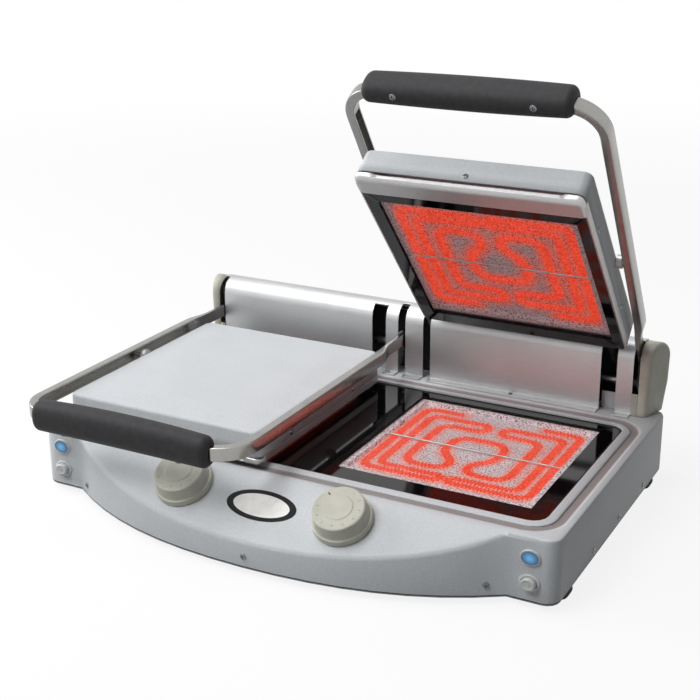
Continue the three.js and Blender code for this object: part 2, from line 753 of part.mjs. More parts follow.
// Torsion spring wound round the shaft as one tube, with its ends closed
function counterSpring() {
  const wire = springWire / 2;
  const chord = Math.cos(Math.PI / springSteps);
  const radius = (shaftRadius + touchGap + wire) / chord;
  const steps = springTurns * springSteps;
  const positions = [];
  const centres = [];
  for (let i = 0; i <= steps; i += 1) {
    const angle = 2 * Math.PI * i / springSteps;
    const along = springPitch * (i / springSteps - springTurns / 2);
    centres.push(new THREE.Vector3(along, radius * Math.cos(angle), radius * Math.sin(angle)));
    for (let j = 0; j < springSides; j += 1) {
      const turn = 2 * Math.PI * j / springSides;
      const reach = radius + wire * Math.cos(turn);
      positions.push(along + wire * Math.sin(turn), reach * Math.cos(angle), reach * Math.sin(angle));
    }
  }
  const faces = [];
  for (let i = 0; i < steps; i += 1) {
    for (let j = 0; j < springSides; j += 1) {
      const a = i * springSides + j;
      const b = i * springSides + (j + 1) % springSides;
      faces.push(a, b + springSides, b, a, a + springSides, b + springSides);
    }
  }
  const last = steps * springSides;
  for (let j = 1; j + 1 < springSides; j += 1) faces.push(0, j, j + 1, last, last + j + 1, last + j);
  const geometry = new THREE.BufferGeometry();
  geometry.setAttribute('position', new THREE.Float32BufferAttribute(positions, 3));
  geometry.setIndex(faces);
  console.log(`least gap between spring turns: ${leastGap(centres).toFixed(2)} mm`);
  return solid(geometry);
}

// Least gap of a wound wire to itself, measured between points over half a turn apart
function leastGap(centres) {
  let least = Infinity;
  centres.forEach((a, i) => centres.slice(i + springSteps / 2 + 1).forEach((b) => {
    least = Math.min(least, a.distanceTo(b) - springWire);
  }));
  return least;
}

// Handle's route in plan, from one rear neck round the front bar to the other
function handleRoute() {
  const half = [
    [-armRearOffset, armNeckY], [-armRearOffset, armJogRearY],
    [-armFrontOffset, armJogFrontY], [-armFrontOffset, barY],
  ].map(([x, y]) => new THREE.Vector2(x, y));
  const side = roundedPath(half, (armJogRearY - armJogFrontY) / 3).slice(0, -1);
  const bar = new THREE.Vector2(-armFrontOffset, barY);
  const start = new THREE.Vector2(bar.x, bar.y + barBend);
  const end = new THREE.Vector2(bar.x + barBend, bar.y);
  const left = [...side, ...quarterBend(start, bar, end)];
  return [...left, ...left.slice().reverse().map((p) => new THREE.Vector2(-p.x, p.y))];
}

// Quarter circle between two points that lie one radius either side of a square corner
function quarterBend(start, corner, end) {
  const centre = start.clone().add(end).sub(corner);
  const points = [];
  for (let step = 0; step <= bendSteps; step += 1) {
    const angle = (Math.PI / 2) * (step / bendSteps);
    const arm = corner.clone().sub(end).multiplyScalar(Math.cos(angle))
      .add(corner.clone().sub(start).multiplyScalar(Math.sin(angle)));
    points.push(centre.clone().add(arm));
  }
  return points;
}

// Half width of the arm at a point: a channel in front of the jog, a flat lug behind it
function armHalf(point) {
  const share = THREE.MathUtils.clamp((point.y - armJogFrontY) / (armJogRearY - armJogFrontY), 0, 1);
  return THREE.MathUtils.lerp(armWidth, lugWidth, share) / 2;
}

// Handle frame about the hinge axis: a channel bent to a U, open inwards, with an eye at each rear end
function handleFrame() {
  const route = handleRoute();
  const low = armCentreZ - armHeight / 2;
  const high = armCentreZ + armHeight / 2;
  const outline = band(route, armHalf, armHalf);
  let body = stack(outline, [[armEdge, low], [0, low + armEdge], [0, high - armEdge], [armEdge, high]]);
  const trenchPlan = band(route, () => armWidth, (point) => armHalf(point) - armWeb);
  const trench = prism(trenchPlan, low + armFlange, high - armFlange);
  const trenchLength = armJogFrontY - barY - barBend;
  const reach = block(4 * armFrontOffset, trenchLength, 2 * high, 0, barY + barBend + trenchLength / 2, high);
  body = body.subtract(trench.intersect(reach));
  for (const side of [-1, 1]) {
    body = body.add(handleEye().translate(side * armRearOffset, 0, 0));
    body = body.subtract(aimedAlongX(rod(shaftRadius + touchGap, -armWidth, armWidth))
      .translate(side * armRearOffset, hingeY, hingeZ));
    body = body.subtract(aimedAlongX(rod(pivotRadius + touchGap, -armWidth, armWidth, smallSides))
      .translate(side * armFrontOffset, pivotY, pivotZ));
  }
  return body.translate(0, -hingeY, -hingeZ);
}

// Flat rear end of an arm, tapering to a round eye on the hinge shaft
function handleEye() {
  const low = armCentreZ - armHeight / 2;
  const high = armCentreZ + armHeight / 2;
  const shape = new THREE.Shape();
  shape.moveTo(armNeckY - armEdge, high);
  shape.lineTo(armNeckY - armEdge, low);
  shape.absarc(hingeY, hingeZ, eyeRadius, -Math.PI * 0.66, Math.PI * 0.42, false);
  const settings = { depth: lugWidth, bevelEnabled: false, curveSegments: 2 * arcSteps };
  const geometry = new THREE.ExtrudeGeometry(shape, settings);
  return laidAlongX(solid(geometry.translate(0, 0, -lugWidth / 2)));
}

// Moulded oval grip with rounded ends, bored for the bar
function handleGrip() {
  const half = gripLength / 2;
  const full = gripHeight / 2;
  const end = [];
  for (let step = 0; step <= arcSteps; step += 1) {
    const angle = (Math.PI / 2) * (step / arcSteps);
    end.push([full - gripEdge * (1 - Math.sin(angle)), half - gripEdge * (1 - Math.cos(angle))]);
  }
  const leftEnd = end.map(([radius, along]) => [radius, -along]);
  const profile = [[0, -half], ...leftEnd, ...end.reverse(), [0, half]];
  const sleeve = aimedAlongX(turned(profile, turnedSides)).scale([1, gripDepth / gripHeight, 1])
    .translate(0, gripCentreY, gripCentreZ);
  const boreDepth = armWidth + 2 * gripBoreSlack;
  const bore = block(gripLength + overrun, boreDepth, armHeight + 2 * touchGap, 0, barY, armCentreZ);
  return sleeve.subtract(bore).translate(0, -hingeY, -hingeZ);
}

function hingeShaft() {
  return aimedAlongX(rod(shaftRadius, -lugOuter, lugOuter, smallSides));
}

// Pivot bush between an arm and the lid's side, with pins into both
function pivotBush(side) {
  const lidSide = lidWidth / 2;
  const armInner = armFrontOffset - armWidth / 2;
  const armOuter = armFrontOffset + armWidth / 2;
  const body = aimedAlongX(turned([
    [0, lidSide - lidSheet - pivotReach], [pivotRadius, lidSide - lidSheet - pivotReach],
    [pivotRadius, lidSide + touchGap], [bushRadius, lidSide + touchGap],
    [bushRadius, armInner - touchGap], [pivotRadius, armInner - touchGap],
    [pivotRadius, armOuter - armEdge], [0, armOuter - armEdge],
  ], smallSides));
  return side > 0 ? body : body.mirror([1, 0, 0]);
}

const lidOutline = (margin) => roundedRectangle(
  lidWidth - 2 * margin, lidDepth - 2 * margin, lidCorner - margin * 0.8, 0, lidCentreY);

// Pressed lid housing, open below, with a pivot hole in each side
function lidHousing() {
  const edge = lidEdge * (1 - Math.SQRT1_2);
  let body = stack(lidOutline(0), [
    [lidDraft + lidSheet, lidTopZ - lidSheet], [lidSheet, lidSkirtZ], [0, lidSkirtZ],
    [lidDraft, lidTopZ - lidEdge], [lidDraft + edge, lidTopZ - edge], [lidDraft + lidEdge, lidTopZ],
  ]);
  for (const side of [-1, 1]) {
    body = body.subtract(aimedAlongX(rod(pivotRadius + touchGap, -overrun, overrun, smallSides))
      .translate(side * lidWidth / 2, pivotY, pivotZ));
  }
  const outlet = aimedBack(rod(conduitRadius - touchGap, -overrun, overrun, smallSides))
    .translate(conduitOffset, lidBackY, conduitStartZ);
  return body.subtract(outlet).translate(0, -pivotY, -pivotZ);
}

// Lower frame of the lid: a flat ring over the glass and a rounded nose along the front
function lidFrame() {
  const low = lidBottomZ + lidGlassThickness + touchGap;
  const high = lidSkirtZ - touchGap;
  const slack = 4 * touchGap;
  const window = roundedRectangle(heaterWidth + slack, heaterDepth + slack, heaterCorner, 0, lidHeaterY);
  const ring = prism(lidOutline(lidFrameStep), low, high)
    .subtract(prism(window, low - overrun, high + overrun));
  const noseDepth = lipDepth - touchGap;
  const plan = roundedRectangle(lidWidth, noseDepth, lidCorner, 0, lidFrontY + noseDepth / 2);
  const bottom = lidBottomZ - lipDrop;
  const lip = [1, 0.7, 0.35, 0].map((share) => {
    return [lipEdge * share, bottom + lipEdge * (1 - Math.sqrt(1 - (1 - share) ** 2))];
  });
  const nose = stack(plan, [...lip, [0, high - lidFrameStep], [lidFrameStep, high]]);
  return ring.add(nose).translate(0, -pivotY, -pivotZ);
}

function lidGlass() {
  const backY = lidBackY - lidFrameStep;
  const depth = backY - lidGlassFrontY;
  const outline = roundedRectangle(lidWidth - 2 * lidFrameStep, depth, lidCorner / 2, 0, backY - depth / 2);
  return prism(outline, lidBottomZ, lidBottomZ + lidGlassThickness).translate(0, -pivotY, -pivotZ);
}

// Hangs an upright heater piece face down over the lid's glass
function hungInLid(body) {
  const low = lidBottomZ + lidGlassThickness + touchGap;
  return body.mirror([0, 0, 1]).translate(0, lidHeaterY - pivotY, low - pivotZ);
}

// Wiring conduit from the back of the lid into the hinge cover
function wiringConduit() {
  const startY = lidBackY - lidDraft + touchGap;
  const curve = new THREE.CubicBezierCurve3(
    new THREE.Vector3(conduitOffset, startY + lidDraft, conduitStartZ),
    new THREE.Vector3(conduitOffset, (2 * startY + conduitEndY) / 3, conduitStartZ),
    new THREE.Vector3(conduitOffset, (startY + 2 * conduitEndY) / 3, conduitStartZ),
    new THREE.Vector3(conduitOffset, conduitEndY, conduitStartZ),
  );
  const section = new THREE.Shape().absarc(0, 0, conduitRadius, 0, 2 * Math.PI, false);
  const settings = { steps: 2 * arcSteps, extrudePath: curve, curveSegments: arcSteps + 1 };
  const geometry = new THREE.ExtrudeGeometry(section, settings);
  return solid(geometry).translate(0, -pivotY, -pivotZ);
}

function knob() {
  const skirt = knobSkirtHeight;
  return turned([
    [0, -spindleReach], [spindleRadius, -spindleReach], [spindleRadius, knobLift],
    [knobSkirtRadius, knobLift], [knobSkirtRadius - knobEdge, skirt - knobEdge / 2],
    [knobDialRadius + knobEdge / 2, skirt], [knobDialRadius, skirt + knobEdge / 2],
    [knobTopRadius, knobHeight - knobEdge], [knobTopRadius - knobEdge, knobHeight],
    [knobDiscRadius, knobHeight], [knobDiscRadius - knobDiscRise, knobHeight + knobDiscRise],
    [0, knobHeight + knobDiscRise],
  ], 2 * smallSides);
}

// Thermostat body under the panel, with a bush that the knob's spindle enters
function thermostat() {
  const plan = roundedRectangle(thermostatWidth, thermostatWidth, thermostatCorner);
  const top = -casingSheet - touchGap;
  const body = prism(plan, top - thermostatHeight, top);
  return body.subtract(rod(spindleRadius + touchGap, -spindleReach - touchGap, overrun));
}

function pilotLamp() {
  return turned([
    [0, -barrelDepth], [lampRadius - touchGap, -barrelDepth], [lampRadius - touchGap, touchGap],
    [lampBezelRadius, touchGap], [lampBezelRadius, bezelHeight / 2], [lampRadius, bezelHeight],
    [lampRadius / 2, lampDome], [0, lampDome + touchGap],
  ]);
}

// Switch barrel through the facet, with a ring outside and a bore for the button
function switchBody() {
  const bore = buttonRadius + touchGap;
  return turned([
    [0, -barrelDepth], [barrelRadius, -barrelDepth], [barrelRadius, touchGap], [bezelRadius, touchGap],
    [bezelRadius - buttonEdge / 2, bezelHeight], [bore, bezelHeight],
    [bore, -buttonStem - 2 * touchGap - overrun], [0, -buttonStem - 2 * touchGap - overrun],
  ]);
}

function pushButton() {
  return turned([
    [0, -buttonStem], [buttonRadius, -buttonStem], [buttonRadius, buttonHeight - buttonEdge],
    [buttonRadius - buttonEdge, buttonHeight], [0, buttonHeight],
  ]);
}

// Mains cable gland in the back wall
function cableGland() {
  const body = turned([
    [0, -2 * overrun], [glandRadius, -2 * overrun], [glandRadius, touchGap], [glandNutRadius, touchGap],
    [glandNutRadius, glandNutLength], [glandRadius, glandNutLength],
    [glandRadius - overrun / 2, glandNutLength + glandNoseLength], [0, glandNutLength + glandNoseLength],
  ], smallSides);
  return body.subtract(rod(glandBore, -3 * overrun, glandNutLength + glandNoseLength + overrun));
}

// Terminal block on the tray behind the gland
function terminalBlock() {
  const y = casingBackY - blockSetback;
  return block(blockWidth, blockDepth, blockHeight, glandX, y, baseTop + touchGap + blockHeight / 2);
}

// Puts a lower heater's three pieces in place under the glass
function addLowerHeater(grill, label, side) {
  const x = side * unitPitch / 2;
  const z = glassBottom - touchGap;
  const parts = [
    piece(`lower_heater_tray_${label}`, heaterTray(), 'fibreBoard'),
    piece(`lower_heater_ribbon_${label}`, heaterRibbon(), 'hotRibbon'),
    piece(`lower_limiter_${label}`, limiter(side), 'darkSteel'),
  ];
  for (const part of parts) {
    part.position.set(x, lowerHeaterY, z);
    grill.add(part);
  }
}

// Lid with its glass and heater, drawn about the pivot
function lidGroup(label) {
  const lid = new THREE.Group();
  lid.add(
    piece(`lid_housing_${label}`, lidHousing(), 'silverPaint'),
    piece(`lid_frame_${label}`, lidFrame(), 'silverPaint'),
    piece(`lid_glass_${label}`, lidGlass(), 'blackGlass'),
    piece(`upper_heater_tray_${label}`, hungInLid(heaterTray()), 'fibreBoard'),
    piece(`upper_heater_ribbon_${label}`, hungInLid(heaterRibbon()), 'hotRibbon'),
    piece(`upper_limiter_${label}`, hungInLid(limiterInLid()), 'darkSteel'),
    piece(`wiring_conduit_${label}`, wiringConduit(), 'darkSteel'),
  );
  return lid;
}

// The lid's limiter has no room for a head beside the tray, so it keeps to the rod
function limiterInLid() {
  const end = heaterWidth / 2 - touchGap;
  return aimedAlongX(rod(limiterRadius, -end, end, smallSides)).translate(0, 0, -limiterDrop);
}

// One grill unit: its handle about the hinge axis, and its lid hung in the handle
function unitGroup(label, x, angle) {
  const handle = new THREE.Group();
  handle.add(
    piece(`handle_frame_${label}`, handleFrame(), 'polishedAluminium'),
    piece(`handle_grip_${label}`, handleGrip(), 'charcoalGrip'),
    piece(`hinge_shaft_${label}`, hingeShaft(), 'darkSteel'),
  );
  const pivot = new THREE.Vector3(0, pivotY - hingeY, pivotZ - hingeZ);
  for (const [name, side] of [['left', -1], ['right', 1]]) {
    const bush = piece(`pivot_bush_${label}_${name}`, pivotBush(side), 'darkSteel');
    bush.position.copy(pivot);
    handle.add(bush);
  }
  const lid = lidGroup(label);
  lid.position.copy(pivot);
  lid.rotation.x = THREE.MathUtils.degToRad(angle * lidLag / openAngle);
  handle.add(lid);
  handle.position.set(x, hingeY, hingeZ);
  handle.rotation.x = THREE.MathUtils.degToRad(-angle);
  return handle;
}

function addControls(grill, label, side) {
  const y = panelBreakY - knobPlaceShare * (bowDepth + panelBreakInset);
  for (const part of [
    piece(`knob_${label}`, knob(), 'beigePlastic'),
    piece(`thermostat_${label}`, thermostat(), 'darkSteel'),
  ]) {
    part.position.set(knobCentreX + side * knobOffset, y, panelHeight(y));
    part.rotation.x = slope;
    grill.add(part);
  }
  for (const [part, z] of [
    [piece(`pilot_lamp_${label}`, aimedForward(pilotLamp()), 'blueLens'), lampZ],
    [piece(`switch_body_${label}`, aimedForward(switchBody()), 'beigePlastic'), buttonZ],
    [piece(`push_button_${label}`, aimedForward(pushButton()), 'beigePlastic'), buttonZ],
  ]) {
    part.position.set(side * controlOffset, casingFrontY, z);
    grill.add(part);
  }
}

function addHingeLine(grill, label, x) {
  const half = bracketSheet / 2;
  const slotHalf = wideSlotWidth / 2;
  const rightPlate = x + bracketOffset;
  const leftPlate = x - bracketOffset;
  grill.add(
    piece(`hinge_bracket_${label}_left`,
      hingeBracket(leftPlate, leftPlate - bracketPanelWidth, leftPlate + half), 'brushedSteel'),
    piece(`hinge_bracket_${label}_right`,
      hingeBracket(rightPlate, x + conduitOffset - slotHalf, rightPlate + half), 'brushedSteel'),
  );
  const spring = piece(`counter_spring_${label}`, counterSpring(), 'darkSteel');
  spring.position.set(x, hingeY, hingeZ);
  grill.add(spring);
}

function buildGrill() {
  const grill = new THREE.Group();
  grill.add(
    piece('upper_casing', upperCasing(), 'silverPaint'),
    piece('base_tray', baseTray(), 'darkSteel'),
    piece('lower_glass', lowerGlass(), 'blackGlass'),
    piece('glass_seal', glassSeal(), 'blackRubber'),
    piece('hinge_cover', hingeCover(), 'brushedSteel'),
    piece('end_cap_left', endCap(-1), 'beigePlastic'),
    piece('end_cap_right', endCap(1), 'beigePlastic'),
    piece('terminal_block', terminalBlock(), 'beigePlastic'),
  );
  const gland = piece('cable_gland', aimedBack(cableGland()), 'blackRubber');
  gland.position.set(glandX, casingBackY, glandZ);
  grill.add(gland);
  const corners = ['front_left', 'front_right', 'back_left', 'back_right'];
  footPlaces().forEach(([x, y], i) => {
    const part = piece(`foot_${corners[i]}`, foot(), 'blackRubber');
    part.position.set(x, y, 0);
    grill.add(part);
  });
  for (const [label, side, angle] of [['left', -1, 0], ['right', 1, openAngle]]) {
    const x = side * unitPitch / 2;
    addLowerHeater(grill, label, side);
    addControls(grill, label, side);
    addHingeLine(grill, label, x);
    grill.add(unitGroup(label, x, angle));
  }
  return grill;
}

// The origin is on the table under the middle of the grill's footprint
const grill = buildGrill();
const frontReach = gripCentreY - gripDepth / 2;
const backReach = casingBackY + glandNutLength + glandNoseLength;
grill.position.y = -(frontReach + backReach) / 2;

export default grill;
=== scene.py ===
import json
import math
import bpy
import bmesh
import numpy as np
from mathutils import Matrix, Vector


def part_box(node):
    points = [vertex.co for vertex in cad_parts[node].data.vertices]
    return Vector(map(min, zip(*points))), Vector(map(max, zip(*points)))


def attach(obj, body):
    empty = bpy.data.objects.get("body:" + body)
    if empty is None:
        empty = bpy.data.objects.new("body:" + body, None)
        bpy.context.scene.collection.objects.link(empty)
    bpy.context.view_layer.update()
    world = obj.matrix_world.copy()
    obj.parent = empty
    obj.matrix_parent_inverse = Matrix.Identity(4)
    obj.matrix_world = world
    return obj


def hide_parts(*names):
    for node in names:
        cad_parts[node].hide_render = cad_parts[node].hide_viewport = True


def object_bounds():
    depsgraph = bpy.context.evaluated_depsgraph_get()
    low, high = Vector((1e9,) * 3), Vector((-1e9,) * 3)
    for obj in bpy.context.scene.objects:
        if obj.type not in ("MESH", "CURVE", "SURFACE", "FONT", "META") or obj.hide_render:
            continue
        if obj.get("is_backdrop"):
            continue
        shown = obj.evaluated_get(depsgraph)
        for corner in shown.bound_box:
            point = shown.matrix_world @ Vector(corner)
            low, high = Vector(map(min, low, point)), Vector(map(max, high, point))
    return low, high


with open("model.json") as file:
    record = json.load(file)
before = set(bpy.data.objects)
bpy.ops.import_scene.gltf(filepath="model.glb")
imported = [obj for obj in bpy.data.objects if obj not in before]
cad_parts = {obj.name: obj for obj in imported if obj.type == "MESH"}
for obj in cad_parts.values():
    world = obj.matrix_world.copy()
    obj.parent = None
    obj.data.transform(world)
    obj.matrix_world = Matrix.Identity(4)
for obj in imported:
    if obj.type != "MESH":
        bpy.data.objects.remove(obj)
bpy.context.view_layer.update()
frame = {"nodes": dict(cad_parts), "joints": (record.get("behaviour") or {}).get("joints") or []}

MM = 0.001

# The studio: a pale floor and soft lamps round the grill, which the camera sees from the front right.
# The camera stands a little above the grill and has a long lens.
SIGHT_AZIMUTH = math.radians(28.21)
SIGHT_ELEVATION = math.radians(19.94)
SIGHT_ROLL = math.radians(-0.37)
SIGHT_DISTANCE = 1552.98 * MM
SIGHT_CENTRE = np.array((0.0, 30.5, 60.0)) * MM
SIGHT_SIDEWAYS, SIGHT_UPWARDS = -8.58 * MM, 94.22 * MM
LENS, FILM = 69.19, 36.0
LAMP_WIDE, LAMP_TALL = 1.6, 1.2
FLOOR_REACH, SHADOW_REACH, WHITE_FROM = 40.0, 1.0, 3.0
FLOOR_GREY, FLOOR_PALE, FLOOR_WHITE, FLOOR_MATT, DAYLIGHT = 0.3, 0.95, 0.86, 0.9, 0.1


def sight_axes():
    """The camera's right, up and backward directions: a turn by azimuth and elevation, then the roll."""
    backward = np.array((math.sin(SIGHT_AZIMUTH) * math.cos(SIGHT_ELEVATION),
                         -math.cos(SIGHT_AZIMUTH) * math.cos(SIGHT_ELEVATION),
                         math.sin(SIGHT_ELEVATION)))
    level = np.cross((0, 0, 1), backward)
    level /= np.linalg.norm(level)
    rise = np.cross(backward, level)
    right = level * math.cos(SIGHT_ROLL) + rise * math.sin(SIGHT_ROLL)
    up = rise * math.cos(SIGHT_ROLL) - level * math.sin(SIGHT_ROLL)
    return right, up, backward


def standing(thing, location, right, up, backward):
    """Puts a lamp or the camera at a place, looking away from its backward direction."""
    matrix = np.eye(4)
    matrix[:3, :] = np.stack([right, up, backward, location], 1)
    thing.matrix_world = Matrix(matrix.tolist())
    bpy.context.scene.collection.objects.link(thing)


def place_camera():
    """Puts the camera back from the grill's middle, then sideways and up in its own frame."""
    right, up, backward = sight_axes()
    camera = bpy.data.objects.new("camera", bpy.data.cameras.new("camera"))
    camera.data.lens, camera.data.sensor_width = LENS, FILM
    spot = SIGHT_CENTRE + backward * SIGHT_DISTANCE + right * SIGHT_SIDEWAYS + up * SIGHT_UPWARDS
    standing(camera, spot, right, up, backward)
    bpy.context.scene.camera = camera


def soft_lamp(name, location, power):
    """A rectangle of even light that faces the middle of the grill."""
    backward = np.array(location, float) - SIGHT_CENTRE
    backward /= np.linalg.norm(backward)
    right = np.cross((0, 0, 1), backward)
    right /= np.linalg.norm(right)
    data = bpy.data.lights.new(name, "AREA")
    data.shape, data.size, data.size_y, data.energy = "RECTANGLE", LAMP_WIDE, LAMP_TALL, power
    standing(bpy.data.objects.new(name, data), location, right, np.cross(backward, right), backward)


def looked_at(nodes, links):
    """1 for a ray that the camera sends, straight or by way of metal or glass, and 0 for other light."""
    path = nodes.new("ShaderNodeLightPath")
    total = path.outputs["Is Camera Ray"]
    for kind in ("Is Glossy Ray", "Is Transmission Ray"):
        most = nodes.new("ShaderNodeMath")
        most.operation = "MAXIMUM"
        links.new(total, most.inputs[0])
        links.new(path.outputs[kind], most.inputs[1])
        total = most.outputs[0]
    return total


def white_room():
    """White where it is looked at, and a plain grey daylight for the rest."""
    world = bpy.data.worlds.new("white room")
    world.use_nodes = True
    bpy.context.scene.world = world
    nodes, links = world.node_tree.nodes, world.node_tree.links
    level = nodes.new("ShaderNodeMapRange")
    level.inputs["To Min"].default_value = DAYLIGHT
    level.inputs["To Max"].default_value = 1.0
    links.new(looked_at(nodes, links), level.inputs["Value"])
    links.new(level.outputs[0], nodes["Background"].inputs["Strength"])
    nodes["Background"].inputs["Color"].default_value = (1, 1, 1, 1)


def lay_floor():
    """A wide pale sheet. What is seen of it is mostly full white, so only a soft shadow shows.

    From the shadow's reach outwards it fades to full white, like the room behind it."""
    mesh = bpy.data.meshes.new("floor")
    corners = np.array([(-1, -1, 0), (1, -1, 0), (1, 1, 0), (-1, 1, 0)]) * FLOOR_REACH
    mesh.from_pydata(corners.tolist(), [], [(0, 1, 2, 3)])
    floor = bpy.data.objects.new("floor", mesh)
    bpy.context.scene.collection.objects.link(floor)
    material = bpy.data.materials.new("pale floor")
    material.use_nodes = True
    nodes, links = material.node_tree.nodes, material.node_tree.links
    paper = nodes["Principled BSDF"]
    tone = nodes.new("ShaderNodeMapRange")
    tone.inputs["To Min"].default_value, tone.inputs["To Max"].default_value = FLOOR_GREY, FLOOR_PALE
    seen = looked_at(nodes, links)
    links.new(seen, tone.inputs["Value"])
    links.new(tone.outputs[0], paper.inputs["Base Color"])
    paper.inputs["Roughness"].default_value = FLOOR_MATT
    glow = nodes.new("ShaderNodeEmission")
    place = nodes.new("ShaderNodeTexCoord")
    away = nodes.new("ShaderNodeVectorMath")
    away.operation = "LENGTH"
    links.new(place.outputs["Object"], away.inputs[0])
    white = nodes.new("ShaderNodeMapRange")
    white.interpolation_type = "SMOOTHSTEP"
    for key, value in (("From Min", SHADOW_REACH), ("From Max", WHITE_FROM), ("To Min", FLOOR_WHITE)):
        white.inputs[key].default_value = value
    links.new(away.outputs["Value"], white.inputs["Value"])
    share = nodes.new("ShaderNodeMath")
    share.operation = "MULTIPLY"
    links.new(white.outputs[0], share.inputs[1])
    links.new(seen, share.inputs[0])
    mix = nodes.new("ShaderNodeMixShader")
    links.new(share.outputs[0], mix.inputs[0])
    links.new(paper.outputs[0], mix.inputs[1])
    links.new(glow.outputs[0], mix.inputs[2])
    links.new(mix.outputs[0], nodes["Material Output"].inputs["Surface"])
    mesh.materials.append(material)
    floor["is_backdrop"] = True


place_camera()
soft_lamp("front lamp", (-0.9, -1.5, 2.3), 40)
soft_lamp("side lamp", (-2.6, -0.2, 1.2), 36)
soft_lamp("top lamp", (-0.6, -0.1, 2.6), 22)
white_room()
lay_floor()
bpy.context.scene.view_settings.view_transform = "Standard"

# Four rubber feet, moulded nearly square with a rounded foot and a waist, and screwed up into the tray.
# The sizes come from the frame, and the rubber has a fine moulded grain.


class Amount:
    """A number or vector that varies over a surface. Sums and products of them add Math nodes."""

    def __init__(self, finish, socket):
        self.finish, self.socket = finish, socket

    def math(self, operation, *others):
        """What a Math node makes of this amount and others."""
        sockets = dict(enumerate((self, *others)))
        return self.finish.node("ShaderNodeMath", {"operation": operation}, sockets)

    def __add__(self, other):
        return self.math("ADD", other)

    def __mul__(self, other):
        return self.math("MULTIPLY", other)

    def __sub__(self, other):
        return self.math("SUBTRACT", other)

    def __pow__(self, other):
        return self.math("POWER", other)

    __radd__ = __add__

    def size(self):
        """The amount without its sign."""
        return self.math("ABSOLUTE")

    def fade(self, low, high, start=0.0, end=1.0):
        """Goes smoothly from start to end as the number goes from low to high."""
        sockets = {"Value": self, "From Min": low, "From Max": high, "To Min": start, "To Max": end}
        return self.finish.node("ShaderNodeMapRange", {"interpolation_type": "SMOOTHSTEP"}, sockets)

    def part(self, name):
        """Another output of the node that made this one."""
        return Amount(self.finish, self.socket.node.outputs[name])


def paint(code):
    """A colour's code as red, green and blue, made linear by the screen's curve, and full cover.

    The curve is a short straight foot, and a power of 2.4 above it."""
    shares = [int(code[place:place + 2], 16) / 255 for place in (0, 2, 4)]
    return tuple(s / 12.92 if s <= 0.04045 else ((s + 0.055) / 1.055) ** 2.4 for s in shares) + (1.0,)


class Finish:
    """A surface finish: one shader, with the nodes that paint it."""

    def __init__(self, name, colour, **constants):
        self.slot = None
        self.material = bpy.data.materials.new(name)
        self.material.use_nodes = True
        self.tree = self.material.node_tree
        self.shader = self.tree.nodes["Principled BSDF"]
        self.shader.inputs["Base Color"].default_value = paint(colour)
        for socket, value in constants.items():
            self.shader.inputs[socket.replace("_", " ")].default_value = value
        self.place = self.node("ShaderNodeTexCoord", {}, {}, "Object")

    def on_slot(self, slot):
        """Keeps the name of a library slot on the finish, and gives the finish back."""
        self.slot = slot
        return self

    def node(self, kind, settings, sockets, out=0):
        """One output of a new node, whose sockets take plain values or amounts."""
        made = self.tree.nodes.new(kind)
        for key, value in settings.items():
            setattr(made, key, value)
        for key, value in sockets.items():
            if isinstance(value, Amount):
                self.tree.links.new(value.socket, made.inputs[key])
            else:
                made.inputs[key].default_value = value
        return Amount(self, made.outputs[out])

    def carried(self, name, out="Fac"):
        """A value that the mesh carries as its own attribute."""
        return self.node("ShaderNodeAttribute", {"attribute_name": name}, {}, out)

    def grain(self, size, stretch=(1, 1, 1), detail=2.0, rough=0.5):
        """Cloudy noise about 0.5. Its blobs have a size in millimetres, times the stretch of each axis."""
        sockets = {"Vector": self.place, "Scale": tuple(1 / share for share in stretch)}
        spot = self.node("ShaderNodeMapping", {"vector_type": "POINT"}, sockets)
        sockets = {"Vector": spot, "Scale": 1 / (size * MM), "Detail": detail, "Roughness": rough}
        return self.node("ShaderNodeTexNoise", {}, sockets)

    def mix(self, amount, first, second):
        """The first colour where the amount is 0 and the second where it is 1."""
        colours = {6: paint(first) if isinstance(first, str) else first,
                   7: paint(second) if isinstance(second, str) else second}
        return self.node("ShaderNodeMix", {"data_type": "RGBA"}, {0: amount, **colours}, 2)

    def fed(self, socket):
        """The amount that feeds a socket of the shader."""
        return Amount(self, self.shader.inputs[socket].links[0].from_socket)

    def feed(self, socket, amount):
        """Feeds a socket of the shader, and gives the finish back."""
        self.tree.links.new(amount.socket, self.shader.inputs[socket])
        return self

    def two_tone(self, tone, dark, light, high=0.7):
        """Goes from the dark colour to the light one as the tone goes from 0.3 to its high mark."""
        return self.feed("Base Color", self.mix(tone.fade(0.3, high), dark, light))

    def relief(self, height, depth, strength, rounding=0.0):
        """Raises the surface by a height times a depth in millimetres, on edges rounded by another size."""
        sockets = {"Height": height, "Distance": depth * MM, "Strength": strength}
        if rounding:
            sockets["Normal"] = self.rounded(rounding)
        return self.feed("Normal", self.node("ShaderNodeBump", {}, sockets))

    def rounded(self, size):
        """Shading as if sharp edges were rounded to a size in millimetres."""
        return self.node("ShaderNodeBevel", {"samples": 4}, {"Radius": size * MM})


def rubber(name, dark, light, grain, roughness):
    """Matt moulding with slow clouds, 12 times as large as the pits of its grain."""
    finish = Finish(name, dark, Roughness=roughness, Specular_IOR_Level=0.25)
    cloud = finish.grain(grain * 12)
    pits = finish.grain(grain, detail=3)
    finish.two_tone(cloud, dark, light, 0.75)
    finish.feed("Roughness", roughness + (cloud - 0.5) * 0.05)
    return finish.relief(pits, 0.02, 0.5)


black_rubber = rubber("black rubber", "141415", "212123", 0.5, 0.7).on_slot("black_rubber")


def corners_of(node):
    """Lowest and highest corner of a CAD node at rest, in millimetres."""
    low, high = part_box(node)
    return np.array(low) / MM, np.array(high) / MM


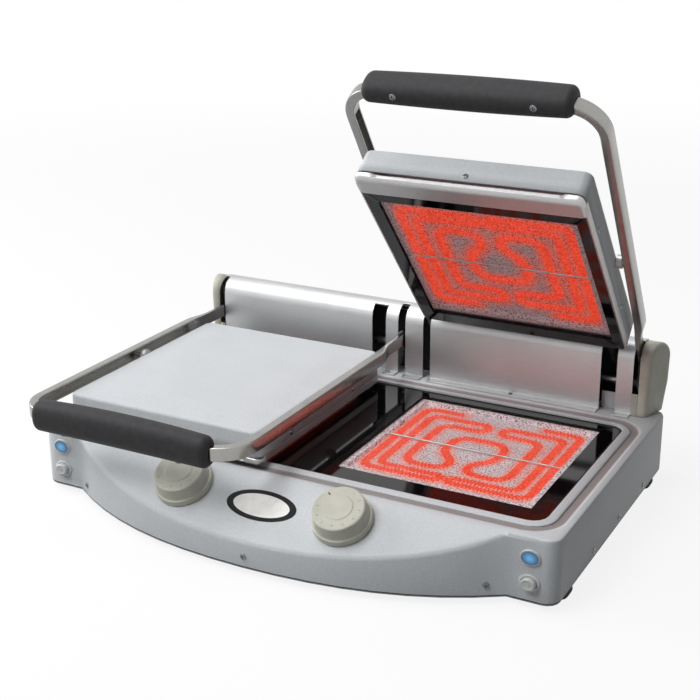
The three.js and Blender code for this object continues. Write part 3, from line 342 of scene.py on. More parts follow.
def rounded_line(corners, radius):
    """A line through corners, each cut back by up to the radius and joined by a parabola's arc."""
    corners = np.array(corners, float)
    line = [corners[:1]]
    share = np.linspace(0, 1, 9)[:, None]
    for before, corner, after in zip(corners, corners[1:], corners[2:]):
        back, ahead = before - corner, after - corner
        cut = min(radius, 0.49 * np.linalg.norm(back), 0.49 * np.linalg.norm(ahead))
        start = corner + back / np.linalg.norm(back) * cut
        end = corner + ahead / np.linalg.norm(ahead) * cut
        line.append((1 - share) ** 2 * start + 2 * share * (1 - share) * corner + share ** 2 * end)
    line.append(corners[-1:])
    return np.concatenate(line)


def surface(name, grid, body, finish, node=None, ends="", matrix=None, shade=38, wall=0.0, carries=None,
            loop_across=True, loop_along=False):
    """A skin through a grid of points in millimetres, with a face between each four neighbours.

    A loop joins the last row or column to the first. The first row, the last or both are closed to their
    middle point. A matrix moves the finished points. What the grid carries becomes an attribute of them."""
    labels = list(carries or {})
    layers = [np.array(grid, float)] + [np.array(carries[label])[..., None] for label in labels]
    grid = np.concatenate(layers, 2)
    if ends in ("first", "both"):
        grid = np.concatenate([np.broadcast_to(grid[0].mean(0), grid[:1].shape), grid])
    if ends in ("last", "both"):
        grid = np.concatenate([grid, np.broadcast_to(grid[-1].mean(0), grid[:1].shape)])
    rows, columns = grid.shape[:2]
    index = np.arange(rows * columns).reshape(rows, columns)
    if loop_across:
        index = np.concatenate([index, index[:, :1]], 1)
    if loop_along:
        index = np.concatenate([index, index[:1]], 0)
    faces = np.stack([index[:-1, :-1], index[1:, :-1], index[1:, 1:], index[:-1, 1:]], -1).reshape(-1, 4)
    mesh = bpy.data.meshes.new(name)
    mesh.from_pydata(grid[..., :3].reshape(-1, 3).tolist(), [], faces.tolist())
    for column, label in enumerate(labels, 3):
        values = grid[..., column].astype(np.float32).ravel()
        mesh.attributes.new(label, "FLOAT", "POINT").data.foreach_set("value", values)
    dress(name, mesh, body, finish, node, matrix, shade, wall)


def dress(name, mesh, body, finish, node=None, matrix=None, shade=38, wall=0.0):
    """Closes a mesh, turns its faces outwards, moves it into place and gives it its finish and body.

    The points keep their place on the bench, before the move, as an attribute in metres."""
    sewn = bmesh.new()
    sewn.from_mesh(mesh)
    bmesh.ops.remove_doubles(sewn, verts=sewn.verts, dist=0.0005)
    bmesh.ops.dissolve_degenerate(sewn, edges=sewn.edges, dist=0.0002)
    bmesh.ops.recalc_face_normals(sewn, faces=sewn.faces)
    sewn.to_mesh(mesh)
    sewn.free()
    spot = np.empty(len(mesh.vertices) * 3)
    mesh.vertices.foreach_get("co", spot)
    spot = spot.reshape(-1, 3)
    bench = mesh.attributes.new("bench", "FLOAT_VECTOR", "POINT")
    bench.data.foreach_set("vector", (spot * MM).astype(np.float32).ravel())
    if matrix is not None:
        spot = spot @ matrix[:3, :3].T + matrix[:3, 3]
    mesh.vertices.foreach_set("co", (spot * MM).ravel())
    mesh.shade_smooth()
    mesh.set_sharp_from_angle(angle=math.radians(shade))
    mesh.materials.append(finish.material)
    piece = bpy.data.objects.new(name, mesh)
    bpy.context.scene.collection.objects.link(piece)
    if wall:
        solid = piece.modifiers.new("wall", "SOLIDIFY")
        solid.thickness, solid.offset, solid.use_even_offset = wall * MM, -1.0, True
    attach(piece, body)
    if node:
        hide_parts(node)


def facing(centre, outward, upward=(0, 0, 1)):
    """The matrix of a turned piece: its axis points outward from its centre, and its own Y points upward."""
    outward = np.array(outward, float) / np.linalg.norm(outward)
    side = np.cross(upward, outward)
    side /= np.linalg.norm(side)
    matrix = np.eye(4)
    matrix[:3, :] = np.stack([side, np.cross(outward, side), outward, centre], 1)
    return matrix


def turned(profile, sides=64):
    """A profile of radius and height, carried round its axis."""
    radius, height = np.array(profile, float).T
    turn = np.linspace(0, 2 * math.pi, sides, endpoint=False)
    return np.stack([radius[:, None] * np.cos(turn), radius[:, None] * np.sin(turn),
                     np.broadcast_to(height[:, None], (len(height), sides))], -1)


FOOT_OUT, FOOT_SQUARE = 3.2, 4
FOOT_LINE = np.array([(0, 0), (0.62, 0), (0.95, 0), (1, 0.35), (0.8, 0.6), (0.78, 1), (0, 1)])
for corner in ("front_left", "front_right", "back_left", "back_right"):
    low, high = corners_of("foot_" + corner)
    reach, tall = (high[0] - low[0]) / 2, high[2]
    pad = rounded_line(FOOT_LINE * (reach, tall), reach * 0.12)
    middle = (low[0] + high[0]) / 2
    centre = (middle + math.copysign(FOOT_OUT, middle), (low[1] + high[1]) / 2, 0)
    foot = turned(pad)
    around = np.abs(foot[..., :2]) / np.maximum(np.hypot(foot[..., 0], foot[..., 1]), 1e-9)[..., None]
    foot[..., :2] /= np.maximum((around ** FOOT_SQUARE).sum(-1) ** (1 / FOOT_SQUARE), 1e-9)[..., None]
    surface(f"rubber_foot_{corner}", foot, "casing", black_rubber, f"foot_{corner}",
            matrix=facing(centre, (0, 0, 1), (0, 1, 0)))

# The base tray of folded steel sheet closes the casing from below, with vents. It has the casing's paint:
# satin silver with a fine metal flake. A CAD node that stays is welded and shaded round its small steps.
STEP_ANGLE = 32


def smoother():
    """Geometry nodes that weld loose triangles and shade smooth each edge that turns less than the angle."""
    group = bpy.data.node_groups.new("welded and shaded", "GeometryNodeTree")
    for way in ("INPUT", "OUTPUT"):
        group.interface.new_socket("Geometry", in_out=way, socket_type="NodeSocketGeometry")
    start, weld, faces, turn, below, edges, end = (group.nodes.new(kind) for kind in (
        "NodeGroupInput", "GeometryNodeMergeByDistance", "GeometryNodeSetShadeSmooth",
        "GeometryNodeInputMeshEdgeAngle", "FunctionNodeCompare", "GeometryNodeSetShadeSmooth",
        "NodeGroupOutput"))
    weld.inputs["Distance"].default_value = 0.01 * MM
    faces.domain, edges.domain = "FACE", "EDGE"
    below.operation = "LESS_THAN"
    below.inputs[1].default_value = math.radians(STEP_ANGLE)
    for here, following in ((start, weld), (weld, faces), (faces, edges), (turn, below), (edges, end)):
        group.links.new(here.outputs[0], following.inputs[0])
    group.links.new(below.outputs[0], edges.inputs["Shade Smooth"])
    return group


shaded = smoother()


def keep(node, finish):
    """Leaves a CAD node in place, smoothed and in its finish."""
    piece = frame["nodes"][node]
    piece.modifiers.new("welded and shaded", "NODES").node_group = shaded
    piece.data.materials.clear()
    piece.data.materials.append(finish.material)


def sheet_metal(name, dark, light, roughness, metallic, grain, stretch, rounding):
    """Steel that keeps the lines of its rolling or brushing, along the stretched axis."""
    finish = Finish(name, dark, Roughness=roughness, Metallic=metallic)
    lines = finish.grain(grain, stretch, detail=3, rough=0.65)
    cloud = finish.grain(60)
    finish.two_tone(lines * 0.7 + cloud * 0.3, dark, light)
    finish.feed("Roughness", roughness + (lines - 0.5) * 0.08 + (cloud - 0.5) * 0.04)
    return finish.relief(lines, 0.003, 0.35, rounding)


def silver_paint(name, dark, light, metallic, roughness, rounding):
    """Satin paint over metal flake: specks of 1 to 2 mm on slow clouds, and a faint orange-peel skin."""
    finish = Finish(name, dark, Roughness=roughness, Metallic=metallic, Specular_IOR_Level=0.2)
    flake, speck, cloud = finish.grain(0.9), finish.grain(2.2, detail=1), finish.grain(45)
    finish.two_tone(flake * 0.5 + speck * 0.3 + cloud * 0.2, dark, light)
    finish.feed("Roughness", roughness + (cloud - 0.5) * 0.05 + (flake - 0.5) * 0.06)
    return finish.relief(speck, 0.004, 0.5, rounding)


SATIN = ("C8CCD0", "D8DCDF", 0.0, 0.42, 1.2)
satin_silver = silver_paint("satin silver paint", *SATIN).on_slot("silver_paint")
keep("base_tray", satin_silver)

# The upper casing is one steel pressing with a bowed front, a sloping control panel and soft edges.
# A bead and a shallow channel run round the glass, with a painted brown reflection in the channel, and a
# dark seam parts it from the tray.
GLASS_CORNER, CHANNEL_IN, CHANNEL_OUT, CHANNEL_DEPTH = 14, 11.5, 20.5, 1.5
DECK_LOW, DECK_HIGH, SEAM_TOP, SEAM_SOFT = 72, 74, 10.1, 0.2


def pressed_paint():
    """Silver paint with a painted brown reflection in the channel, a distance from the glass's round
    outline.
    """
    finish = silver_paint("casing paint", *SATIN)
    low, high = corners_of("lower_glass")
    half, middle = (high - low) / 2 - GLASS_CORNER, (high + low) / 2
    split = finish.node("ShaderNodeSeparateXYZ", {}, {0: finish.place})
    x, y, z = (split.part(axis) * (1 / MM) for axis in "XYZ")
    past_x = ((x - middle[0]).size() - half[0]).math("MAXIMUM", 0.0)
    past_y = ((y - middle[1]).size() - half[1]).math("MAXIMUM", 0.0)
    from_glass = (past_x * past_x + past_y * past_y) ** 0.5 - GLASS_CORNER
    on_deck = z.fade(DECK_LOW, DECK_HIGH)

    def channel(before, past):
        """1 in the channel and 0 away from it, fading from before each of its edges to past it."""
        rise = from_glass.fade(CHANNEL_IN - before, CHANNEL_IN + past)
        return rise * from_glass.fade(CHANNEL_OUT + before, CHANNEL_OUT - past)

    # Painted reflection: the paint in the channel is mixed towards brown.
    painted_channel_reflection = finish.mix(channel(1, 1) * on_deck * 0.85, finish.fed("Base Color"), "8A807E")
    seam = z.fade(SEAM_TOP + SEAM_SOFT, SEAM_TOP - SEAM_SOFT)
    finish.feed("Base Color", finish.mix(seam, painted_channel_reflection, "2E3033"))
    sockets = {"Height": channel(3, 2) * on_deck, "Distance": CHANNEL_DEPTH * MM, "Strength": 1.0,
               "Normal": finish.fed("Normal")}
    finish.feed("Normal", finish.node("ShaderNodeBump", {"invert": True}, sockets))
    return finish


keep("upper_casing", pressed_paint())

# Two radiant heaters under the glass: a square tray of pressed fibre with a sunk bed, and on the bed
# a crimped ribbon that glows orange. A thin limiter rod lies across each tray in a notch.
SIDES = {"left": -1, "right": 1}
TRAY_RIM, BED_DEPTH, TRAY_CORNER, BED_SLOPE = 8.5, 4.6, 5, 1
NOTCH_DEPTH, NOTCH_HALF = 2.9, 1.8
ROD_RADIUS, ROD_DROP, HEAD_SIZE, HEAD_TALL, HEAD_CORNER, HEAD_GAP = 1.1, 1.7, 17, 13, 2, 0.6
RIBBON_SWING, CRIMP, RIBBON_SHEET, RIBBON_TALL, CRIMP_STEPS = 4.4, 4.3, 1.0, 1.1, 12
RIBBON_SHARE, RIBBON_BACK, RIBBON_CORNER, RIBBON_LIFT, RIBBON_SQUARE = (1.03, 1.02), 5, 12, 0.3, 0.8
RIBBON_HALF = [(0, 27), (20, 27), (30, 15), (30, -15), (11, -36), (11, -50), (20, -58), (50, -58),
               (58, -46), (58, 42), (50, 50), (12, 50), (8, 60), (12, 69), (78, 69), (78, -74), (6, -74),
               (3, -80), (7, -86), (92, -86), (92, 85), (48, 85)]
GLOW_ROUTE_STEP, GLOW_ROUTE_CHUNK = 8, 100


def rounded_outline(width, depth, corner, centre=(0, 0), side_steps=6, corner_steps=6):
    """Points round a rectangle with quarter circles for corners, with the same steps whatever its size."""
    corner = max(min(corner, width / 2, depth / 2), 0.01)
    arc = np.linspace(0, math.pi / 2, corner_steps + 1)
    parts = []
    for turn, (sign_x, sign_y) in enumerate(((1, 1), (-1, 1), (-1, -1), (1, -1))):
        hub = np.array((sign_x * (width / 2 - corner), sign_y * (depth / 2 - corner)))
        angle = arc + turn * math.pi / 2
        parts.append(hub + corner * np.stack([np.cos(angle), np.sin(angle)], -1))
    points = []
    for here, following in zip(parts, parts[1:] + parts[:1]):
        points += [here, np.linspace(here[-1], following[0], side_steps + 1)[1:-1]]
    return np.concatenate(points) + np.array(centre)


def stacked(levels, **steps):
    """Rounded rectangles one over another: each level is its width, depth, corner and height."""
    rings = []
    for width, depth, corner, height in levels:
        ring = rounded_outline(width, depth, corner, **steps)
        rings.append(np.column_stack([ring, np.full(len(ring), height)]))
    return np.stack(rings)


def soft_block(width, depth, corner, soft, foot, top, **steps):
    """A rounded rectangle carried from foot to top, and cut back by a soft edge at both."""
    levels = [(width - 2 * inset, depth - 2 * inset, corner, height) for inset, height in
              ((soft, foot), (0, foot + soft), (0, top - soft), (soft, top))]
    return stacked(levels, **steps)


def spaced(line, step):
    """The same line with points an even step apart along it."""
    along = np.concatenate([[0], np.cumsum(np.linalg.norm(np.diff(line, axis=0), axis=1))])
    count = max(int(round(along[-1] / step)), 2)
    marks = np.linspace(0, along[-1], count + 1)
    return np.stack([np.interp(marks, along, values) for values in line.T], -1), marks


def sideways(line):
    """The unit direction to the left of a flat line at each of its points."""
    ahead = np.gradient(line, axis=0)
    ahead /= np.linalg.norm(ahead, axis=1, keepdims=True)
    return np.stack([-ahead[:, 1], ahead[:, 0]], -1)


half = np.array(RIBBON_HALF, float) * RIBBON_SHARE
ribbon_route = rounded_line(np.concatenate([(half * (-1, 1))[:0:-1], half]), RIBBON_CORNER)
route, travelled = spaced(ribbon_route, CRIMP / CRIMP_STEPS)
wave = np.sin(2 * math.pi * travelled / CRIMP)
crimped = route + sideways(route) * (RIBBON_SWING * np.sign(wave) * np.abs(wave) ** RIBBON_SQUARE)[:, None]
edge = sideways(crimped) * RIBBON_SHEET / 2
ribbon_floor = -BED_DEPTH + RIBBON_LIFT
ribbon_grid = np.stack([np.column_stack([crimped + way * edge, np.full(len(crimped), ribbon_floor + tall)])
                        for way, tall in ((1, 0), (1, RIBBON_TALL), (-1, RIBBON_TALL), (-1, 0))], 1)


def tray_grid(size, tall):
    """A fibre tray: up the outside, over the rim, down to the bed and in to its middle in even rings."""
    bed = size - 2 * TRAY_RIM
    floor = bed - 2 * BED_SLOPE
    levels = [(size - 1, -tall), (size, 0.5 - tall), (size, -0.6), (size - 1.2, 0), (bed + 1.2, 0),
              (bed, -0.6), (floor + 0.6, 0.6 - BED_DEPTH), (floor, -BED_DEPTH)]
    levels = [(wide, wide, TRAY_CORNER, height) for wide, height in levels]
    for share in np.linspace(0.98, 0, 50):
        levels.append((share * floor, share * floor, TRAY_CORNER * share, -BED_DEPTH))
    grid = stacked(levels, side_steps=74, corner_steps=3)
    notched = (np.abs(grid[:, :, 1]) < NOTCH_HALF) & (grid[:, :, 2] > -NOTCH_DEPTH)
    grid[:, :, 2] = np.where(notched, -NOTCH_DEPTH, grid[:, :, 2])
    return grid


def heat_over(grid):
    """The distance from each point to the ribbon's route in plan: the least to any point of it."""
    points = grid[..., :2].reshape(-1, 2)
    coarse = route[::GLOW_ROUTE_STEP]
    least = np.full(len(points), 1e9)
    for start in range(0, len(coarse), GLOW_ROUTE_CHUNK):
        gap = np.linalg.norm(points[:, None] - coarse[None, start:start + GLOW_ROUTE_CHUNK], axis=2).min(1)
        least = np.minimum(least, gap)
    return least.reshape(grid.shape[:2])


def pressed_fibre(name, painted_board_glow, red_light, reach, painted_redness, strength):
    """Pale grey-pink board with dark specks and a painted glow. Within a reach of the ribbon, painted red
    light.
    """
    finish = Finish(name, "C2B6B9", Roughness=0.95, Emission_Strength=strength)
    specks = finish.grain(1.7, rough=0.65).fade(0.4, 0.5)
    near = finish.carried("painted_glow_distance").fade(reach, 3.5)
    board = finish.mix(specks, "7E7276", "F2ECEE")
    # Painted light: the board's colour turns red near the ribbon.
    finish.feed("Base Color", finish.mix(near * painted_redness, board, finish.mix(specks, "A8483A", "F2A090")))
    # Painted light: the board glows a little of its own in its emission, and red near the ribbon.
    glow = finish.mix(near, painted_board_glow, red_light)
    finish.feed("Emission Color", finish.mix(specks, finish.mix(near, "2C2224", "7A2A1E"), glow))
    return finish.relief(specks, 0.08, 0.8)


def hot_ribbon():
    """Thin oxidised strip at orange heat, unevenly bright along its length."""
    finish = Finish("hot ribbon", "B5402A", Roughness=0.6, Emission_Strength=0.7)
    uneven = finish.grain(3.0)
    finish.feed("Emission Color", finish.mix(uneven.fade(0.3, 0.7), "E23C20", "FF6244"))
    return finish.two_tone(uneven, "A83420", "D0583E")


lower_fibre = pressed_fibre("pressed fibre, lower", "BCA8AC", "F0745E", 15, 0.6, 0.55)
upper_fibre = pressed_fibre("pressed fibre, upper", "5E4A4C", "E0442A", 20, 0.85, 0.75)
fibre = {"lower": lower_fibre.on_slot("fibre_board"), "upper": upper_fibre.on_slot("fibre_board")}
glowing = hot_ribbon().on_slot("hot_ribbon")
bright_rod = sheet_metal("limiter rod", "B8B2B2", "E2DCDC", 0.35, 0.5, 1.5, (6, 1, 1), 0.3)
bright_rod.on_slot("brushed_steel")
rest_joints = {joint["name"]: joint for joint in frame["joints"]}


def moved(x, y, z):
    """The matrix of a plain shift in millimetres."""
    matrix = np.eye(4)
    matrix[:3, 3] = x, y, z
    return matrix


def put_heater(label, side, matrix, body, head_side=0):
    """A tray, its ribbon and its limiter, standing in for the CAD nodes, with the ribbon's light painted by
    distance.

    A limiter whose rod ends beside the tray has its head there, on the side given."""
    low, high = corners_of("lower_heater_tray_left")
    wide = high[0] - low[0]
    grid = tray_grid(wide, high[2] - low[2])
    shift = np.array((0, RIBBON_BACK, 0))
    # The distance to the ribbon on the bed, which places the painted ribbon light; 99 off the bed.
    painted_glow_distance = np.where(grid[..., 2] < -2, heat_over(grid - shift), 99)
    surface(f"{label}_fibre_tray_{side}", grid, body, fibre[label], f"{label}_heater_tray_{side}",
            matrix=matrix, carries={"painted_glow_distance": painted_glow_distance}, ends="first")
    surface(f"{label}_crimped_ribbon_{side}", ribbon_grid + shift, body, glowing,
            f"{label}_heater_ribbon_{side}", matrix=matrix, ends="both")
    rod = rounded_line([(0, -wide / 2), (ROD_RADIUS, -wide / 2), (ROD_RADIUS, wide / 2), (0, wide / 2)], 0.3)
    surface(f"{label}_limiter_rod_{side}", turned(rod, 16), body, bright_rod, f"{label}_limiter_{side}",
            matrix=matrix @ facing((0, 0, -ROD_DROP), (1, 0, 0)))
    if head_side:
        head = soft_block(HEAD_SIZE, HEAD_SIZE, HEAD_CORNER, 0.5, 0, HEAD_TALL, side_steps=2, corner_steps=3)
        place = matrix @ moved(head_side * (wide + HEAD_SIZE + HEAD_GAP) / 2, 0, -HEAD_TALL - 0.5)
        surface(f"{label}_limiter_head_{side}", head, body, bright_rod, matrix=place, ends="both")


for side in SIDES:
    low, high = corners_of(f"lower_heater_tray_{side}")
    place = moved((low[0] + high[0]) / 2, (low[1] + high[1]) / 2, high[2])
    rod_ahead = sum(corners_of(f"lower_limiter_{side}"))[0] - (low + high)[0]
    put_heater("lower", side, place, "casing", math.copysign(1, rod_ahead))

# The lower glass is one black ceramic plate in a rubber seal, clear only over the two heaters.
# Its edges are ground round, and it has a high gloss with faint wipe marks.
WINDOW_HALF, WINDOW_FADE, WINDOW_TINT, WINDOW_ASIDE, WINDOW_FORWARD = 111, 0.6, 0.12, 1, 3.8


def window_glass(name, centres, half_size, source):
    """Black glass that is mostly clear inside square windows round some centres, with a short fade."""
    finish = Finish(name, "0B0A0B", Roughness=0.05, IOR=1.5, Specular_IOR_Level=0.3)
    spot = finish.place if source == "Object" else finish.carried(source, "Vector")
    split = finish.node("ShaderNodeSeparateXYZ", {}, {0: spot})
    shut = None
    for x, y in centres:
        across = (split - x * MM).size()
        along = (split.part("Y") - y * MM).size()
        outside = across.math("MAXIMUM", along).fade((half_size - WINDOW_FADE) * MM, half_size * MM)
        shut = outside if shut is None else shut.math("MINIMUM", outside)
    smear = finish.grain(40, (1, 2.5, 1), detail=3)
    finish.feed("Alpha", shut.fade(0, 1, WINDOW_TINT, 1.0))
    finish.feed("Base Color", finish.mix(shut, "5A4C4C", "0B0A0B"))
    finish.feed("Roughness", 0.03 + smear * 0.06)
    return finish


lower_centres = []
for side in SIDES:
    low, high = corners_of(f"lower_heater_tray_{side}")
    lower_centres.append(((low[0] + high[0]) / 2 + WINDOW_ASIDE, (low[1] + high[1]) / 2 - WINDOW_FORWARD))
keep("lower_glass", window_glass("lower ceramic glass", lower_centres, WINDOW_HALF, "Object"))
keep("glass_seal", black_rubber)

# Thermostats behind the sloping panel, and a turned dial on each: a skirt, a step and a raised disc.
# The dials are moulded in warm grey plastic, with numbers and a pointer printed on them.
dark_steel = sheet_metal("rolled steel", "5F6165", "7C7E82", 0.45, 0.85, 0.6, (14, 1, 1), 0.4)
DIAL_DIGITS, DIAL_FIRST, DIAL_STEP, DIAL_TOP = 9, 68, -30, 22.0
DIGIT_SIZE, DIGIT_RADIUS, DIGIT_LIFT = 3.6, 21.8, 0.05
POINTER_ANGLE, POINTER_RADIUS, POINTER_LONG, POINTER_WIDE, POINTER_TALL = 140, 21.5, 4.6, 1.5, 0.25


def moulded_plastic(name, dark, light, roughness, rounding=0.3):
    """Moulding with slow changes of tone and gloss, and a fine spark-eroded grain."""
    finish = Finish(name, dark, Roughness=roughness)
    cloud, pits = finish.grain(18, detail=3), finish.grain(0.7)
    finish.two_tone(cloud * 0.6 + pits * 0.4, dark, light)
    finish.feed("Roughness", roughness + (cloud - 0.5) * 0.2)
    return finish.relief(pits, 0.03, 0.5, rounding)


beige = moulded_plastic("warm grey plastic", "B9B8AA", "CAC9BC", 0.46).on_slot("beige_plastic")
print_grey = moulded_plastic("grey print", "6F6F68", "7C7C74", 0.6, 0).on_slot("beige_plastic")
print_black = moulded_plastic("black print", "222222", "2C2C2C", 0.6, 0).on_slot("black_rubber")


def lettering(name, text, size, matrix, body, finish, thick=0.12):
    """Plain print: a font's outline made a thin mesh, then moved as a whole."""
    curve = bpy.data.curves.new(name, "FONT")
    curve.body, curve.size, curve.extrude = text, size, thick
    curve.align_x, curve.align_y = "CENTER", "CENTER"
    holder = bpy.data.objects.new(name, curve)
    bpy.context.scene.collection.objects.link(holder)
    bpy.context.view_layer.update()
    mesh = bpy.data.meshes.new_from_object(holder.evaluated_get(bpy.context.evaluated_depsgraph_get()))
    bpy.data.objects.remove(holder)
    dress(name, mesh, body, finish, matrix=matrix)


def bar_grid(length, width, tall):
    """A small raised bar with soft edges, its length along Y."""
    levels = [(width, length, width / 2, 0), (width, length, width / 2, tall * 0.5),
              (width * 0.8, length - width * 0.2, width / 2, tall)]
    return stacked(levels, side_steps=2, corner_steps=3)


def spun(angle, reach, lift):
    """A turn about the local axis in degrees, then a step outwards along the turned Y."""
    a = math.radians(angle - 90)
    matrix = np.eye(4)
    matrix[:2, :2] = [[math.cos(a), -math.sin(a)], [math.sin(a), math.cos(a)]]
    matrix[:3, 3] = -math.sin(a) * reach, math.cos(a) * reach, lift
    return matrix


dial = turned(rounded_line([(0, 0.4), (31.0, 0.4), (31.5, 1.5), (31.3, 7.5), (29.3, 7.5), (29.0, 8.4),
                            (28.6, 9.0), (27.4, 21.2), (25.6, DIAL_TOP), (15.6, 22.35), (14.6, 23.0),
                            (0, 23.1)], 0.7), 96)
for side in SIDES:
    joint = rest_joints[f"dial_turn_{side}"]
    on_panel = facing(np.array(joint["pos_m"]) / MM, -np.array(joint["axis"]))
    body = f"dial_{side}"
    surface(f"dial_{side}_moulding", dial, body, beige, f"knob_{side}", matrix=on_panel, shade=30)
    for number in range(1, DIAL_DIGITS + 1):
        angle = DIAL_FIRST + DIAL_STEP * (number - 1)
        spot = on_panel @ spun(angle, DIGIT_RADIUS, DIAL_TOP + DIGIT_LIFT)
        lettering(f"dial_{side}_number_{number}", str(number), DIGIT_SIZE, spot, body, print_grey)
    surface(f"dial_{side}_pointer", bar_grid(POINTER_LONG, POINTER_WIDE, POINTER_TALL), body, print_black,
            matrix=on_panel @ spun(POINTER_ANGLE, POINTER_RADIUS, DIAL_TOP), ends="both")
    keep(f"thermostat_{side}", dark_steel)

# An oval plate between the dials, bare, with a black border and a white enamel field.
# It is pressed from thin sheet and stuck to the panel.
BADGE_WIDE, BADGE_DEEP, BADGE_TALL, BADGE_BORDER = 82.5, 38.5, 1.4, 5.2
BADGE_SIDE, BADGE_Y, BADGE_SUNK = 1.6, -181, 1.2


def oval_grid(width, depth, profile, steps=96):
    """An oval carried through a profile of inset and height. The inset is wider at the oval's ends."""
    turn = np.linspace(0, 2 * math.pi, steps, endpoint=False)
    rings = [((width / 2 - inset * BADGE_SIDE) * np.cos(turn), (depth / 2 - inset) * np.sin(turn),
              np.full(steps, height)) for inset, height in profile]
    return np.stack(rings).transpose(0, 2, 1)


def enamel(name, dark, light, roughness, gloss):
    """Fired colour with slow clouds of 8 millimetres in its tone and its gloss."""
    finish = Finish(name, dark, Roughness=roughness, Specular_IOR_Level=gloss)
    cloud = finish.grain(8, detail=3)
    finish.feed("Roughness", roughness + (cloud - 0.5) * 0.1)
    return finish.two_tone(cloud, dark, light)


white_enamel = enamel("white enamel", "ECECE8", "F6F6F3", 0.3, 0.5).on_slot("silver_paint")
black_enamel = enamel("black enamel", "060607", "0C0C0D", 0.5, 0.15).on_slot("black_glass")
panel_out = -np.array(rest_joints["dial_turn_left"]["axis"])
panel_spot = np.array(rest_joints["dial_turn_left"]["pos_m"]) / MM
badge_z = panel_spot[2] + (BADGE_Y - panel_spot[1]) * -panel_out[1] / panel_out[2]
badge_place = facing((0, BADGE_Y, badge_z) - panel_out * BADGE_SUNK, panel_out)
plate_line = [(0, 0), (0, 0.7), (0.4, 0.9), (3, 0.9)]
border_line = rounded_line([(0, 0), (0, BADGE_TALL * 0.7), (0.6, BADGE_TALL), (BADGE_BORDER, BADGE_TALL),
                            (BADGE_BORDER + 0.5, 0.4)], 0.3)
field_line = [(BADGE_BORDER - 0.2, 0.2), (BADGE_BORDER - 0.2, BADGE_TALL - 0.15),
              (BADGE_BORDER + 1, BADGE_TALL + 0.1), (BADGE_DEEP / 4 + 2, BADGE_TALL + 0.5)]
for layer, wider, deeper, profile, finish in (("plate", 2.4, 2.0, plate_line, satin_silver),
                                              ("border", 0, 0, border_line, black_enamel),
                                              ("field", 0, 0, field_line, white_enamel)):
    surface(f"badge_{layer}", oval_grid(BADGE_WIDE + wider, BADGE_DEEP + deeper, profile), "casing", finish,
            matrix=badge_place, ends="both")

# A blue pilot lamp and a round push button on each ear of the front, in grey plastic bezels.
# The lens is a shallow faceted dome; the button slides in its bezel.
CONTROL_OUT = (0, -1, 0)


def lamp_lens():
    """Blue lens that is lighter at its middle, where the lamp is."""
    finish = Finish("blue lens", "2F7DB8", Roughness=0.18, Coat_Weight=0.6, Coat_Roughness=0.05,
                    Emission_Strength=0.35)
    middle = finish.carried("middle").fade(0.0, 1.0)
    cells = finish.grain(1.6, detail=1)
    tone = (middle * 0.8 + cells * 0.2).math("MINIMUM", 1.0)
    finish.feed("Base Color", finish.mix(tone, "1B5A8E", "62B4E6"))
    finish.feed("Emission Color", finish.mix(middle, "0A3A62", "58B0EA"))
    return finish.relief(cells, 0.15, 0.4)


def front_middle(node):
    """The middle of a CAD node's front, in millimetres."""
    low, high = corners_of(node)
    return (low[0] + high[0]) / 2, low[1], (low[2] + high[2]) / 2


OVAL = np.diag((1.24, 1.0, 1.0, 1.0))
LENS_RADIUS, LENS_LIFT, LENS_ROUND, MARK_SIZE, MARK_ASIDE, MARK_THICK = 7.15, 1.6, 0.92, 2.6, 1.7, 0.08
blue = lamp_lens().on_slot("blue_lens")
pale_plastic = moulded_plastic("pale grey plastic", "C6C8C8", "D6D8D8", 0.32).on_slot("beige_plastic")
reach = np.linspace(1, 0, 12)
dome = -0.9 + LENS_LIFT * np.sqrt(1 - (LENS_ROUND * reach) ** 2) - 0.6
lens = turned(np.concatenate([[(LENS_RADIUS, -6)], np.column_stack([LENS_RADIUS * reach, dome])]))
lens_middle = np.repeat(np.concatenate([[0], 1 - reach])[:, None], lens.shape[1], 1)
switch_rim = turned(rounded_line([(6.6, -8), (6.6, -0.2), (7.4, 0), (9, -0.8), (9, -2), (7.8, -2.2),
                                  (7.8, -23), (6.6, -23)], 0.5))
for side in SIDES:
    low, high = corners_of(f"pilot_lamp_{side}")
    bezel = (high[0] - low[0]) / 2
    rim = rounded_line([(7.2, -0.4), (7.3, -0.9), (7.9, -0.5), (bezel, -1.4), (bezel, -2.6),
                        (bezel - 1, -2.7), (bezel - 1, -20), (7.2, -20), (7.2, -0.4)], 0.5)
    place = facing(front_middle(f"pilot_lamp_{side}"), CONTROL_OUT) @ OVAL
    surface(f"lamp_bezel_{side}", turned(rim), "casing", pale_plastic, f"pilot_lamp_{side}", matrix=place)
    surface(f"lamp_lens_{side}", lens, "casing", blue, matrix=place, carries={"middle": lens_middle})
    place = facing(front_middle(f"switch_body_{side}"), CONTROL_OUT) @ OVAL
    surface(f"switch_bezel_{side}", switch_rim, "casing", pale_plastic, f"switch_body_{side}", matrix=place,
            loop_along=True)
    low, high = corners_of(f"push_button_{side}")
    place = facing(front_middle(f"push_button_{side}"), CONTROL_OUT) @ OVAL
    deep, body = high[1] - low[1], f"switch_button_{side}"
    cap = rounded_line([(0, -deep), (6.2, -deep), (6.3, -1.2), (5.6, -0.15), (4.6, 0), (3.9, -0.45),
                        (0, -0.6)], 0.5)
    surface(f"button_cap_{side}", turned(cap), body, pale_plastic, f"push_button_{side}", matrix=place)
    for mark, offset in (("I", -MARK_ASIDE), ("O", MARK_ASIDE)):
        spot = place @ moved(offset, 0, -0.55)
        lettering(f"button_mark_{side}_{mark}", mark, MARK_SIZE, spot, body, print_grey, MARK_THICK)

# Behind the glass stand the bearing brackets, with the hinge shafts and their counterbalance springs.
# The springs are close-wound steel wire.
SPRING_TURNS, SPRING_PITCH, SPRING_WIRE = 10, 5.5, 3.9
spring_steel = sheet_metal("spring steel", "6D6E72", "A3A5A8", 0.35, 0.9, 0.8, (4, 1, 1), 0)
spring_steel.on_slot("dark_steel")


